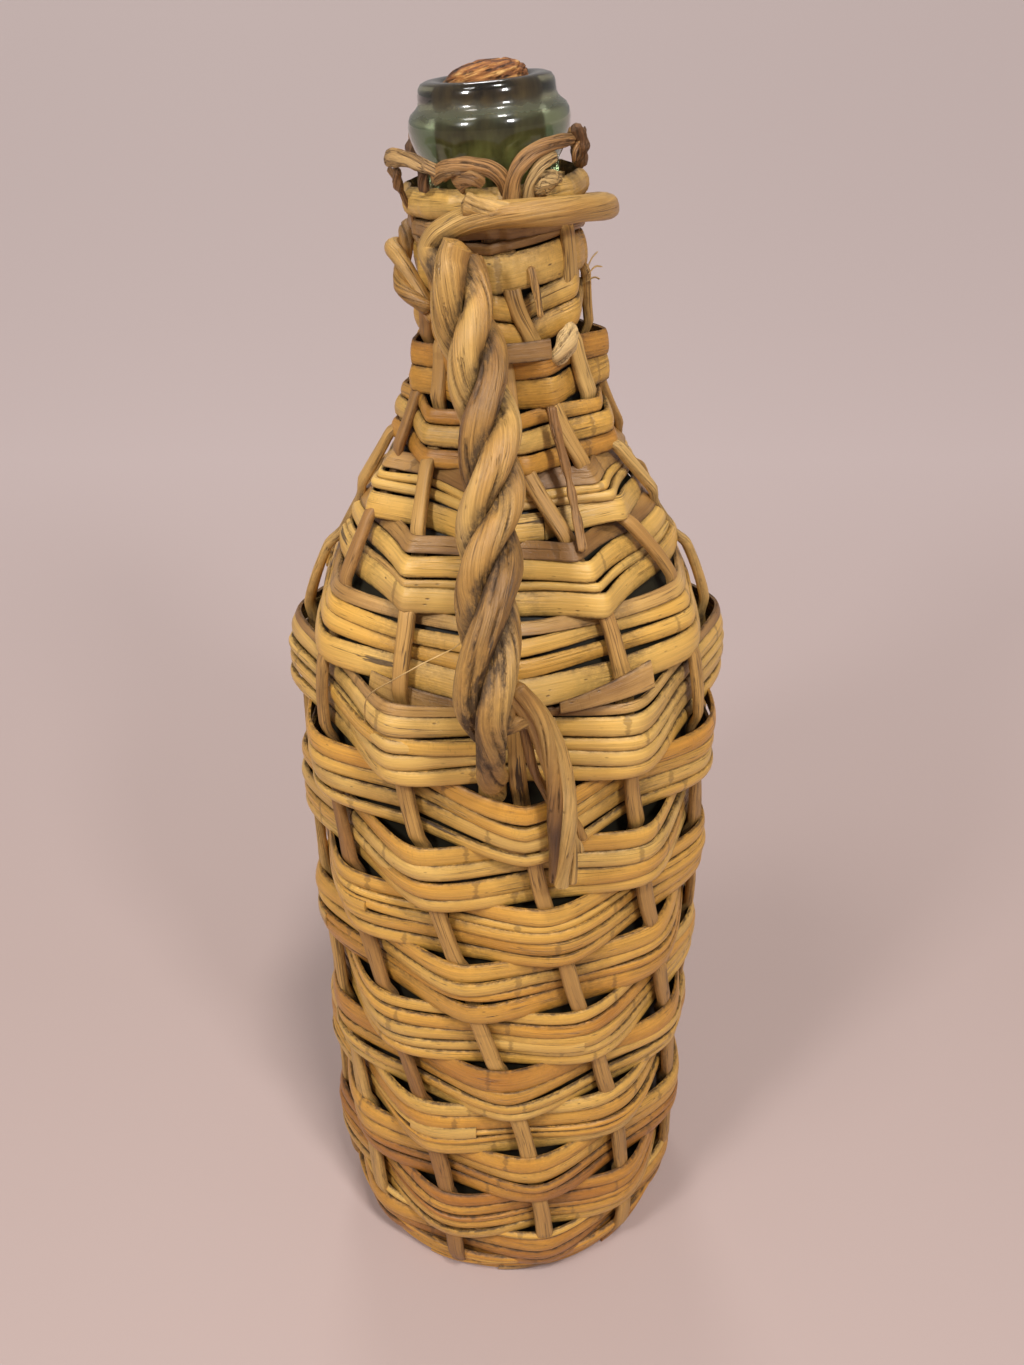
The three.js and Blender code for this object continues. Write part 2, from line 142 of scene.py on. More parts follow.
# Bands of the shoulder and neck: how far they pass over a stake, how far they stay off the glass, how
# upright they stand, and from below up the share of the height, tint, flatness and tilt of each strip
UPPER_BANDS = {
    12: (4.3, 0, 0, [(1.25, 0.6, 0.1, 0.12), (0.5, 0.7, 0, 0), (1.1, 0.62, 0, 0), (1, 0.93, 0.9, -0.16)]),
    13: (4, 0.3, 0, [(1.45, 0.62, 0.1, 0.16), (0.6, 0.72, 0, 0), (0.6, 0.6, 0, 0), (1.1, 0.93, 0.9, -0.2)]),
    14: (3.6, 1.4, 0.3, [(1.1, 0.14, 0, 0), (1.2, 0.56, 0.1, 0), (0.9, 0.22, 0.1, 0)]),
    15: (5.4, 1.8, 0.5, [(1.25, 0.34, 0, 0), (1.15, 0.12, 0.3, 0)]),
    16: (4.2, 1.4, 0, [(1.15, 0.36, 0, 0.1), (1, 0.5, 0, 0)]),
    17: (3.4, 1, 0, [(1.55, 0.5, 0.1, 0), (0.5, 0.9, 0.3, 0)]),
    18: (3.6, 1.7, 0, [(0.95, 0.93, 0.6, 0), (1.5, 0.74, -0.9, 0)]),
}
# Bands that stand further out than the others, and bands that lie higher
BAND_BULGE = {0: -2, 5: 0.4, 7: 0.8, 8: 0.4, 9: 1.6, 10: 2, 11: -1.2}
BAND_RISE = {0: 2.4, 11: 0.8, 12: 2.4, 13: 2}
# How far bands are pushed up or down at stakes, most of all below the handle's tucked end
BAND_BENDS = {(9, 0): -5, (9, 11): 0.8, (9, 1): 1, (16, 2): -2.4, (16, 3): 3, (16, 4): 5.4,
              (17, 1): -0.6, (17, 2): 0.2, (17, 3): 1.4}
# Corners of the shoulder's bands that stand out further, and the share of a corner's rise that is taken back
BAND_CORNERS = {(12, 1): 4.5, (12, 11): 3.2, (12, 3): -2, (12, 9): -2, (13, 0): 1.8, (13, 2): 2.8,
                (13, 4): -1.5, (13, 8): -1.5, (13, 10): 1.8, (14, 1): 2}
LEVEL_SHARE = 0.9
# Bands of the body whose top strip is flat and brown
FLAT_TOP_BANDS = (10, 11)
# Flat pieces laid on a band: turn in degrees, height, distance out and half width along it, and tint
LAID_PIECES = {9: ((-40, -9), (283, 281), (2.2, 2.2), (4.6, 4.2), 0.92),
               15: ((-6, 26), (381, 381), (10.2, 9.4), (3.3, 3.3), 0.98),
               10: ((13, 36), (284, 289), (6.4, 12.4), (1.6, 4), 0.88)}
# Loose ends in front: turn in degrees from end to end
LOOSE_ENDS = {5: (-8, 21), 3: (-30, -10)}
# Places across a strip's rounded outside and its flat back, and how far the outside falls to its edges
STRIP_ACROSS = np.array([-1, -0.95, -0.82, -0.55, -0.2, 0.2, 0.55, 0.82, 0.95, 1])
STRIP_BACK = [0.95, 0, -0.95]
CROWN_FALL = 0.52
CROWN_EASE = 0.42

# The glass line draws in at the foot
FOOT_CURVE = 5.5
FOOT_CURVE_HEIGHT = 25
FLOOR_CLEARANCE = 0.2

# Splits in a rod: width as an angle
SPLIT_WIDTH = 0.12
# How far apart pieces lie in the wood that their grain is cut from
GRAIN_ACROSS = 61
GRAIN_ALONG = 977
SHARP_ANGLE = 62 * DEGREE

# Handle: three strands laid as a rope
STRAND_RADIUS = 4.45
LAY_RADIUS = 4.95
ROPE_RADIUS = 8.9
LAY_STEPS = 44
# How far the rope has turned, in degrees, at shares of its length
LAY_ANGLES = [(0, 208), (0.09, 270), (0.2, 372), (0.37, 522), (0.525, 652), (0.66, 770), (0.877, 900),
              (1, 960)]
HANDLE_ROUTE = [(-12.6, -36, 410), (-9.5, -42, 392.5), (-5.8, -51, 375.5), (-4, -61, 359), (-5, -71.5, 342),
                (-5, -83, 323), (-5.8, -91.5, 303), (-5.6, -90.5, 286)]
# Points of the loop round the neck, [radius, turn, height], from its tucked end to where it meets the rope
LOOP = [(26, 307, 390.5), (28.6, 299, 395.5), (30, 288, 400.5), (30.6, 277, 405), (30.8, 262, 408.5),
        (31, 240, 410), (31.2, 210, 410.6), (31.4, 175, 411.4), (31.6, 140, 412.2), (32, 112, 413.4),
        (32.4, 92, 414.6), (32.8, 72, 416.4), (33.3, 44, 419), (33.6, 21, 420.4), (33.8, 3, 421),
        (34, -8, 420.7), (34.2, -18, 419.3), (34.6, -27, 416.8), (34.9, -32.5, 412.8)]
LOOP_STEPS = 60
LOOP_ROD_RADIUS = 3.6
LOOP_STUB = [(34, 9, 421.6), (34.6, 1, 422.4), (35, -7, 423.4), (35.2, -14, 424.4)]
# Past this turn the loop is laid from two rods
TWIST_FROM = 205
SECOND_ROD_FROM = 200
TWIST_TURNS = 1.6
TWIST_RADIUS = 2.3
TWIST_APART = 2.0
# The strands' ends above and below the rope
FRAYED_END = [(-10.4, -88, 294), (-9, -85, 287), (-7.4, -82, 281)]
CUT_TOP = [(-9.8, -40.4, 416.4)]
TUCKED_END = [(-4.5, -94.4, 290), (-4.5, -90.6, 279.5), (-4.5, -83, 269.5), (-4.5, -73.5, 262),
              (-4.5, -69, 254)]
HIDDEN_TOP = [(-8, -32.9, 412)]
TAIL = [(6.4, -85.5, 292), (10, -83.5, 282)]
STRANDS_END = 0.9
TAIL_LEAVES = 0.95
# The third strand's tail: the way it hangs, and the parts that turn round each other in it
TAIL_ROUTE = [(0, -89, 306), (6.2, -87.5, 298), (9.8, -86.4, 291), (13.6, -84.4, 277.6), (16.4, -82, 262),
              (17.6, -80.6, 246), (17.8, -80, 234), (17.8, -79.6, 225)]
TAIL_PARTS = 3
TAIL_PART_RADIUS = 2.25
TAIL_SPREAD = 2.5
TAIL_DEPTH = 1.3
TAIL_TURNS = 0.55
# Flattened pieces that split off the tail: points, radius, width across and tint
TAIL_SPLITS = [
    ([(1, -88.5, 308), (2.4, -87, 302.4), (4.4, -84.6, 291), (8.4, -80.6, 270), (12.5, -78.8, 259.4),
      (14, -78.4, 255.5)], 1.5, 1, 0.3),
    ([(15, -77.6, 256), (19, -77.8, 252), (24.4, -77, 241)], 1.5, 1.1, 0.85),
    ([(15.6, -77.6, 251), (19.6, -77.8, 247), (23.4, -77, 236)], 1.4, 1.1, 0.8),
]


def smooth(value, start=0, length=1):
    """0 up to a start, 1 from a length after it, and a smooth rise between."""
    s = np.clip((value - start) / length, 0, 1)
    return s * s * (3 - 2 * s)


def waves(share, rng, size, first=1, last=5):
    """A smooth random wave that closes on itself over share 0 to 1."""
    total = np.zeros_like(share)
    for term in range(first, last + 1):
        total += rng.normal() * np.sin(TURN * (term * share + rng.random()))
    return size * total / math.sqrt(last - first + 1)


def at_share(value, share):
    """A value along a piece, from a function of the share of its length or from one number."""
    return value(share) if callable(value) else np.full_like(share, value)


def knots(places, sizes, widths):
    """Swellings of a rod at shares of its length."""
    def swell(share):
        return 1 + sum(s * np.exp(-(((share - p) / w) ** 2)) for p, s, w in zip(places, sizes, widths))
    return swell


def run_length(points):
    """Distance along a line at each of its points."""
    return np.concatenate([[0], np.cumsum(np.linalg.norm(np.diff(points, axis=0), axis=1))])


def wrapped(angle):
    return (angle + math.pi) % TURN - math.pi


def stacked(*parts):
    return np.stack(np.broadcast_arrays(*parts), -1)


def lean(points):
    """Bends points of the upright bottle to the left with its neck."""
    x, y, z = points[..., 0], points[..., 1], points[..., 2]
    rise = np.maximum(z - LEAN_START, 0)
    bent = np.minimum(rise, LEAN_LENGTH)
    angle = LEAN_ANGLE * bent / LEAN_LENGTH
    bend_radius = LEAN_LENGTH / LEAN_ANGLE
    straight = rise - bent
    axis_x = -bend_radius * (1 - np.cos(angle)) - straight * np.sin(angle)
    axis_z = LEAN_START + bend_radius * np.sin(angle) + straight * np.cos(angle)
    leaned = np.stack([axis_x + x * np.cos(angle), y, axis_z + x * np.sin(angle)], -1)
    return np.where((z > LEAN_START)[..., None], leaned, points)


def polar(radius, turn, height):
    """A point at a radius and turn about the axis: turn 0 is the front, a quarter turn is +X."""
    return stacked(radius * np.sin(turn), -radius * np.cos(turn), height)


def shoulder(body_radius, neck_radius, steps):
    """Radius and height up the shoulder's curve, from the body to the neck."""
    t = np.linspace(0, 1, steps)[:, None]
    corners = np.array([(body_radius, SHOULDER_START), (body_radius, SHOULDER_START + SHOULDER_PULL),
                        (neck_radius, NECK_START - NECK_PULL), (neck_radius, NECK_START)])
    return np.hstack([(1 - t) ** 3, 3 * t * (1 - t) ** 2, 3 * t**2 * (1 - t), t**3]) @ corners


def cover_line():
    """The glass line that the cover follows: distance along it, radius and height, and its direction."""
    heights = np.linspace(0, SHOULDER_START, 60)[:-1]
    drawn_in = FOOT_CURVE * np.clip(1 - heights / FOOT_CURVE_HEIGHT, 0, 1) ** 2
    body = np.stack([BODY_RADIUS - drawn_in, heights], -1)
    neck = [(NECK_RADIUS, z) for z in np.linspace(NECK_START, LIP_BOTTOM + 10, 20)[1:]]
    line = np.vstack([body, shoulder(BODY_RADIUS, NECK_RADIUS, 160), neck])
    along = run_length(line)
    up = np.gradient(line, along, axis=0)
    return along, line, up / np.linalg.norm(up, axis=1)[:, None]


LINE_ALONG, LINE, LINE_UP = cover_line()


def cover_radius(along):
    return np.interp(along, LINE_ALONG, LINE[:, 0])


def cover_up(along):
    """The direction of the glass line: its radial and its upward part."""
    return (np.interp(along, LINE_ALONG, LINE_UP[:, axis]) for axis in range(2))


def on_cover(along, out, turn):
    """A point of the cover: so far along the glass line, so far out from the glass, at a turn."""
    up_r, up_z = cover_up(along)
    height = np.maximum(np.interp(along, LINE_ALONG, LINE[:, 1]) - up_r * out, FLOOR_CLEARANCE)
    return lean(polar(cover_radius(along) + up_z * out, turn, height))


def along_at(height):
    """Distance along the glass line at a height."""
    return np.interp(height, LINE[:, 1], LINE_ALONG)


def stake_turn(stake, along):
    """Where a stake stands: it runs to the right down the body, and to the left up the neck."""
    base = FIRST_STAKE_TURN + TURN * stake / STAKES
    twist = NECK_TWIST + NECK_TWIST_SWING * math.cos(base - NECK_TWIST_SIDE)
    neck = base - twist * smooth(along, BODY_TWIST_TOP, NECK_TWIST_HEIGHT)
    if stake in SLANTS:
        degrees, start, length = SLANTS[stake]
        neck = neck - degrees * DEGREE * smooth(along, start, length)
    fall = np.clip((BODY_TWIST_TOP - along) / BODY_TWIST_HEIGHT, 0, 1)
    return neck + BODY_TWIST / 2 * (1 - np.cos(math.pi * fall))


def band_pitch(band):
    return BAND_PITCH - BAND_PITCH_LOSS * max(0, band - BODY_BANDS + 1)


def band_middle(band):
    return FIRST_BAND + sum(band_pitch(lower) for lower in range(1, band + 1))


def band_shares(band):
    """Half a band's height as a share of its pitch, on the glass and over a stake."""
    if band == COLLAR_BAND:
        return COLLAR_SHARE, COLLAR_SHARE
    if band >= FIRST_NECK_BAND:
        return NECK_SHARE, NECK_SHARE
    if band >= FIRST_SHOULDER_BAND:
        return SHOULDER_SHARE, SHOULDER_SHARE
    return NARROW_SHARE, WIDE_SHARE


def stake_shows(stake, band):
    """Whether a stake passes over a band. The collar wraps every stake."""
    if band == COLLAR_BAND:
        return False
    if band == COLLAR_BAND - 1:
        return stake in STAKES_ON_LAST_BAND
    return (stake + band) % 2 == 0


def shown_stakes(band):
    return [stake for stake in range(STAKES) if stake_shows(stake, band)]


def band_lift(band, along, turn, corner):
    """How far a band's strips stand off at each turn: 1 where they pass over a stake, 0 at the glass.
    A strip is pulled tight, so it runs straight from the stake to where it meets the glass."""
    radius = cover_radius(along)
    reach = min(math.acos(radius / (radius + STRIP_OVER)), LONGEST_REACH)
    soft = corner / radius
    lift = np.zeros_like(turn)
    for stake in range(STAKES):
        if not stake_shows(stake, band):
            near = np.sqrt(wrapped(turn - stake_turn(stake, along)) ** 2 + soft**2) - soft
            lift = np.maximum(lift, np.clip(1 - near / reach, 0, 1) ** 2)
    return np.maximum(lift, TAUT_LIFT) if band >= COLLAR_BAND - 1 else lift


def straight_runs(turn, along, values):
    """Values given at the stakes, and straight between them."""
    stakes = [float(stake_turn(number, along)) for number in range(STAKES)]
    return np.interp(turn, stakes, values, period=TURN)


def spline(points, step):
    """A smooth line through points, sampled evenly: its points and its distance along at each."""
    p = np.array(points, float)
    p = np.vstack([2 * p[0] - p[1], p, 2 * p[-1] - p[-2]])
    t = np.linspace(0, 1, 24, endpoint=False)[:, None]
    line = []
    for a, b, c, d in zip(p, p[1:], p[2:], p[3:]):
        ab, bc, cd = (math.sqrt(np.linalg.norm(q - o)) for o, q in ((a, b), (b, c), (c, d)))
        leave = bc * ((b - a) / ab - (c - a) / (ab + bc) + (c - b) / bc)
        reach = bc * ((c - b) / bc - (d - b) / (bc + cd) + (d - c) / cd)
        square = -3 * b + 3 * c - 2 * leave - reach
        cube = 2 * b - 2 * c + leave + reach
        line.append(b + leave * t + square * t**2 + cube * t**3)
    line = np.vstack([*line, p[-2]])
    along = run_length(line)
    even = np.linspace(0, along[-1], max(4, int(along[-1] / step) + 1))
    return np.stack([np.interp(even, along, line[:, i]) for i in range(3)], -1), even


def carried_frame(path, first_side):
    """Two directions across a path at each point, carried along it without turning."""
    ahead = np.gradient(path, axis=0)
    ahead /= np.linalg.norm(ahead, axis=1)[:, None]
    side = np.array(first_side, float)
    sides = []
    for direction in ahead:
        side = side - direction * (side @ direction)
        side /= np.linalg.norm(side)
        sides.append(side)
    sides = np.array(sides)
    return sides, np.cross(ahead, sides)


def new_object(name, data):
    made = bpy.data.objects.new(name, data)
    bpy.context.scene.collection.objects.link(made)
    return made


def new_piece(name, node, body, material, points, faces):
    """A piece of the object, which takes the place of a CAD node. Gives back its mesh."""
    mesh = bpy.data.meshes.new(name)
    mesh.from_pydata((points * MM).tolist(), [], faces, shade_flat=False)
    mesh.materials.append(material)
    piece = new_object(name, mesh)
    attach(piece, body)
    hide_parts(node)
    return mesh


def faces_out(points, quads):
    """Whether the faces of a tube look outward."""
    a, b, c, d = (points[quads[:, corner]] - points.mean(0) for corner in range(4))
    return np.sum(a * np.cross(b, c)) + np.sum(a * np.cross(c, d)) > 0


class Shape:
    """Gathers closed tubes into one mesh, with the values that its material reads at each point:
    grain is the place in the wood, and look is the tint, the grime and painted shade, and how deep the point
    lies, which the material also darkens with grime and painted shade."""

    def __init__(self):
        self.points, self.faces, self.grain, self.look = [], [], [], []
        self.size = 0

    def add(self, rings, grain, look):
        count, sides = rings.shape[:2]
        index = np.arange(count * sides).reshape(count, sides)
        following = np.roll(index, -1, axis=1)
        quads = np.stack([index[:-1], following[:-1], following[1:], index[1:]], -1).reshape(-1, 4)
        flat = rings.reshape(-1, 3)
        faces = (quads + self.size).tolist()
        faces += [(index[0][::-1] + self.size).tolist(), (index[-1] + self.size).tolist()]
        self.faces += faces if faces_out(flat, quads) else [face[::-1] for face in faces]
        self.points.append(flat)
        self.grain.append(np.broadcast_to(grain, rings.shape).reshape(-1, 3))
        self.look.append(np.broadcast_to(look, rings.shape).reshape(-1, 3))
        self.size += len(flat)

    def place(self, kind, node, slot, material):
        points = np.vstack(self.points)
        mesh = new_piece(f"{kind}_{node}", node, "bottle", material, points, self.faces)
        mesh.set_sharp_from_angle(angle=SHARP_ANGLE)
        for key, values in (("grain", self.grain), ("look", self.look)):
            attribute = mesh.attributes.new(key, "FLOAT_VECTOR", "POINT")
            attribute.data.foreach_set("vector", np.vstack(values).astype(np.float32).ravel())


def wood_place(across, depth, length, rng):
    """Each point's place in the wood, in a part of it that is the piece's own."""
    seed = rng.random()
    return stacked(across + GRAIN_ACROSS * seed, depth, length + GRAIN_ALONG * seed)


def strip(shape, turn, along, out, half_width, thickness, rng, tint, dirt_and_shade, flat=0.0, tilt=0.0):
    """A split cane strip that lies on the cover: flat inside, rounded outside."""
    side = np.abs(STRIP_ACROSS)
    crown = 1 - (CROWN_FALL - CROWN_EASE * flat) * side**2.4 - 0.1 * (side == 1)
    v = np.concatenate([STRIP_ACROSS, STRIP_BACK])
    h = np.concatenate([crown, [0, 0, 0]])
    half_width, tilt, thickness, dirt_and_shade = (np.broadcast_to(value, turn.shape)[:, None]
                                         for value in (half_width, tilt, thickness, dirt_and_shade))
    place_out = out[:, None] + thickness * h + half_width * tilt * v
    rings = on_cover(along[:, None] + half_width * v, np.maximum(place_out, 0.12), turn[:, None])
    length = run_length(rings.mean(1))[:, None]
    grain = wood_place(half_width * v, thickness * h, length, rng)
    # The strip's edges and flat back count as deep, where the material paints shade and grime as dark lines
    # between strips
    shape.add(rings, grain, stacked(tint, dirt_and_shade, np.concatenate([side**7, [1, 1, 1]])))


def rod(shape, points, radius, rng, tint, dirt_and_shade=0.0, sides=18, step=1.5, twist=0.0, splits=0, depth=0.12,
        lumps=0.04, lump_length=140, wide=1.0, ends=(0.5, 0.5), first_side=(0.31, 0.87, 0.38), core=None,
        facets=1.0):
    """A rod along a smooth line through points, with its fibres, flutes and splits turning round it."""
    path, length = spline(points, step)
    path = lean(path)
    share = length / length[-1]
    size = at_share(radius, share) * (1 + waves(length / lump_length, rng, lumps, 1, 6))
    for end, reach in zip((length, length[-1] - length), ends):
        rounding = max(reach * np.median(size), 0.01)
        size = size * np.sqrt(1 - 0.93 * np.clip(1 - end / rounding, 0, 1) ** 2)
    side, other = carried_frame(path, first_side)
    angle = TURN * np.arange(sides) / sides
    fibre = angle[None, :] - TURN * twist * share[:, None]
    flutes = 0.04 * np.cos(3 * fibre + rng.random() * TURN) + 0.025 * np.cos(5 * fibre + rng.random() * TURN)
    groove = np.zeros_like(fibre)
    for _ in range(splits):
        away = wrapped(fibre - rng.random() * TURN)
        open_at = smooth(0.5 + waves(share * length[-1] / 90, rng, 0.7, 1, 5))[:, None]
        groove = np.maximum(groove, open_at * np.exp(-((away / SPLIT_WIDTH) ** 2)))
    depth, wide, dirt_and_shade, tint = (at_share(value, share)[:, None] for value in (depth, wide, dirt_and_shade, tint))
    reach = size[:, None] * (1 + facets * flutes) * (1 - depth * groove)
    groove = groove * np.minimum(depth / 0.2, 1)
    rings = path[:, None] + side[:, None] * (wide * reach * np.cos(angle))[..., None]
    rings = rings + other[:, None] * (reach * np.sin(angle))[..., None]
    # The grooves of splits and the hollows between a rope's strands count as deep: the material paints shade
    # and grime there
    if core is not None:
        groove = np.maximum(groove, core_depth(rings, core))
    grain = wood_place(reach * np.cos(fibre), reach * np.sin(fibre), length[:, None], rng)
    shape.add(rings, grain, stacked(tint, dirt_and_shade, groove))


def placed(points, turned=0.0):
    """Points on the upright bottle from their radius, turn in degrees and height."""
    return [polar(radius, (turn + turned) * DEGREE, height) for radius, turn, height in points]


def placed_rod(shape, points, radius, rng, tint, turned=0.0, **shape_of):
    """A rod through points round the bottle, whose width outward is multiplied by wide."""
    outward = polar(1, (points[0][1] + turned) * DEGREE, 0)
    keys = {"dirt_and_shade": 0.2, "sides": 28, "step": 0.7, "splits": 7, "depth": 0.32, "twist": 0.25, "lumps": 0.1,
            "lump_length": 40, "facets": 2.2, **shape_of}
    rod(shape, placed(points, turned), radius, rng, tint, first_side=outward, **keys)


def core_depth(rings, core):
    """How deep points lie between the strands of a rope: 1 near its middle line, 0 at its outside."""
    away = np.full(rings.shape[:2], 1e3)
    for point in core:
        away = np.minimum(away, np.linalg.norm(rings - point, axis=-1))
    return smooth((ROPE_RADIUS * 0.97 - away) / (ROPE_RADIUS * 0.32))


class Nodes:
    """Builds a material's node tree."""

    def __init__(self, name):
        self.material = bpy.data.materials.new(name)
        self.material.use_nodes = True
        self.tree = self.material.node_tree
        self.tree.nodes.clear()

    def add(self, kind, inputs, **settings):
        node = self.tree.nodes.new("ShaderNode" + kind)
        for key, value in settings.items():
            setattr(node, key, value)
        for key, value in inputs.items():
            if isinstance(value, bpy.types.NodeSocket):
                self.tree.links.new(value, node.inputs[key])
            else:
                node.inputs[key].default_value = value
        return node

    def math(self, operation, a, b=0.0):
        return self.add("Math", {0: a, 1: b}, operation=operation).outputs[0]

    def times(self, a, b):
        return self.math("MULTIPLY", a, b)

    def plus(self, a, b):
        return self.math("ADD", a, b)

    def minus(self, a, b):
        return self.math("SUBTRACT", a, b)

    def most(self, a, b):
        return self.math("MAXIMUM", a, b)

    def away(self, a, b):
        return self.math("ABSOLUTE", self.minus(a, b))

    def span(self, value, low, high, to_low=0.0, to_high=1.0):
        keys = {"Value": value, "From Min": low, "From Max": high, "To Min": to_low, "To Max": to_high}
        return self.add("MapRange", keys).outputs[0]

    def stretch(self, vector, x, y, z):
        return self.add("VectorMath", {0: vector, 1: (x, y, z)}, operation="MULTIPLY").outputs[0]

    def noise(self, vector, scale=1.0, detail=3.0, roughness=0.55):
        keys = {"Vector": vector, "Scale": scale, "Detail": detail, "Roughness": roughness}
        return self.add("TexNoise", keys).outputs["Fac"]

    def dots(self, vector):
        return self.add("TexVoronoi", {"Vector": vector, "Scale": 1.0}).outputs["Distance"]

    def mix(self, share, a, b, blend="MIX"):
        return self.add("Mix", {0: share, 6: a, 7: b}, data_type="RGBA", blend_type=blend).outputs[2]

    def ramp(self, value, stops):
        node = self.add("ValToRGB", {"Fac": value})
        while len(node.color_ramp.elements) < len(stops):
            node.color_ramp.elements.new(0.5)
        for element, (position, colour) in zip(node.color_ramp.elements, stops):
            element.position = position
            element.color = (*colour, 1)
        return node.outputs["Color"]

    def parts(self, vector):
        return vector, self.add("SeparateXYZ", {"Vector": vector}).outputs

    def attribute(self, name):
        return self.parts(self.add("Attribute", {}, attribute_name=name).outputs["Vector"])

    def place(self):
        return self.parts(self.add("TexCoord", {}).outputs["Object"])

    def surface(self, inputs, height=None, strength=1.0, distance=0.0):
        if height is not None:
            keys = {"Height": height, "Strength": strength, "Distance": distance}
            inputs["Normal"] = self.add("Bump", keys).outputs[0]
        shader = self.add("BsdfPrincipled", inputs)
        output = self.add("OutputMaterial", {})
        self.tree.links.new(shader.outputs[0], output.inputs["Surface"])
        return self.material


# Dark brown of grime, which also paints the shade in hollows and under other pieces
SHADE_AND_DIRT = (0.05, 0.026, 0.011, 1)
BARK = (0.05, 0.032, 0.022, 1)
MARK = (0.085, 0.042, 0.016, 1)
CANE = [(0, (0.46, 0.18, 0.028)), (0.22, (0.67, 0.32, 0.048)), (0.45, (0.72, 0.395, 0.078)),
        (0.68, (0.74, 0.45, 0.12)), (0.86, (0.50, 0.275, 0.085)), (1, (0.26, 0.125, 0.036))]
STAKE = [(0, (0.32, 0.145, 0.038)), (0.45, (0.57, 0.315, 0.085)), (0.8, (0.66, 0.40, 0.125)),
         (1, (0.72, 0.50, 0.24))]
PEELED = [(0, (0.12, 0.05, 0.017)), (0.5, (0.44, 0.22, 0.07)), (1, (0.64, 0.41, 0.16))]
ROPE = [(0, (0.10, 0.042, 0.013)), (0.28, (0.29, 0.135, 0.034)), (0.52, (0.50, 0.26, 0.064)),
        (0.75, (0.60, 0.35, 0.10)), (1, (0.68, 0.44, 0.17))]
MAT = [(0, (0.22, 0.11, 0.04)), (0.5, (0.40, 0.22, 0.08)), (1, (0.5, 0.3, 0.12))]


def willow(name, colours, streak=0.5, crack=0.5, rings=0.6, gloss=0.4, relief=0.00035, mottle=0.2,
           cracks=0.0):
    """Willow or cane: fibres along the piece, splits, cross cracks, node rings, bark left on, grime, and
    painted shade in hollows and under other pieces.
    """
    n = Nodes(name)
    grain, (_, _, along) = n.attribute("grain")
    _, (tint, dirt_and_shade, deep) = n.attribute("look")

    def flecks(across, lengthwise, detail=3.0, roughness=0.55):
        return n.noise(n.stretch(grain, across, across, lengthwise), 1.0, detail, roughness)
    patches = flecks(0.05, 0.018)
    colour = n.ramp(n.plus(tint, n.span(patches, 0.25, 0.75, -mottle, mottle)), colours)
    fibres = flecks(1.5, 0.03, 4.0, 0.65)
    fine = flecks(5.5, 0.09, 3.0, 0.7)
    light = n.times(n.span(fibres, 0.25, 0.75, 1 - 0.45 * streak, 1 + 0.28 * streak),
                    n.span(fine, 0.3, 0.7, 1 - 0.2 * streak, 1 + 0.14 * streak))
    # Thin dark splits along the fibres
    split = n.span(n.away(flecks(0.75, 0.016, 2.0), 0.5), 0, 0.016 + 0.1 * cracks, 1, 0)
    split = n.times(split, n.span(flecks(0.2, 0.05), 0.48 - cracks, 0.6 - cracks, 0, 0.8))
    # Fine cracks across the fibres where a strip was bent dry
    cross = n.span(flecks(0.5, 2.3, 3.0, 0.6), 0.56, 0.7)
    cross = n.times(cross, n.span(flecks(0.05, 0.03, 1.0), 0.52, 0.64, 0, crack))
    # Node rings
    ring = n.add("TexVoronoi", {"W": along, "Scale": 0.013}, voronoi_dimensions="1D",
                 feature="DISTANCE_TO_EDGE").outputs["Distance"]
    ring = n.plus(ring, n.span(flecks(0.6, 0.1), 0.3, 0.7, -0.01, 0.01))
    ring = n.times(n.span(ring, 0.006, 0.014, 1, 0), rings)
    # Small dark pores
    pores = n.span(n.dots(n.stretch(grain, 0.42, 0.42, 0.16)), 0.05, 0.14, 1, 0)
    pores = n.times(pores, n.span(patches, 0.42, 0.62, 0, 0.8))
    # Bark that was not peeled off
    bark = n.span(flecks(0.22, 0.02, 5.0, 0.62), 0.695, 0.715, 0, 0.85)
    # Grime, and painted shade in the hollows, at the edges of strips and stakes, and where pieces lie under
    # others
    shaded_and_soiled = n.plus(n.times(dirt_and_shade, 0.6), n.times(deep, 0.95))
    shaded_and_soiled = n.times(shaded_and_soiled, n.span(flecks(0.6, 0.35, 5.0, 0.75), 0.3, 0.7, 0.15, 1.35))
    shaded_and_soiled = n.span(shaded_and_soiled, 0.06, 1, 0, 0.9)
    marks = n.most(n.most(split, n.times(cross, 0.55)), n.most(n.times(ring, 0.7), pores))
    colour = n.mix(1, colour, light, "MULTIPLY")
    for share, tone in ((marks, MARK), (bark, BARK), (shaded_and_soiled, SHADE_AND_DIRT)):
        colour = n.mix(share, colour, tone)
    rough = n.span(n.plus(fibres, patches), 0.6, 1.4, gloss - 0.08, gloss + 0.14)
    rough = n.plus(rough, n.times(n.most(shaded_and_soiled, bark), 0.35))
    height = n.minus(n.plus(n.times(fibres, 0.7), n.times(fine, 0.28)), n.times(marks, 0.7))
    height = n.plus(height, n.times(bark, 0.8))
    return n.surface({"Base Color": colour, "Roughness": rough}, height, 0.8, relief)


# The glass and cork materials work in metres. Height of the lip's worn step, and what a height along the
# leaning neck adds to that of the upright bottle
LIP_STEP = 0.4452
LEAN_RISE = 0.00133
RING_GLASS = (0.29, 0.38, 0.20, 1)
COLLAR_GLASS = (0.35, 0.35, 0.25, 1)
WORN_GLASS = (0.22, 0.21, 0.15, 1)
# Glass under the cover, painted near black as the shade inside the covered bottle, with dust
COVERED_GLASS = (0.028, 0.024, 0.015, 1)


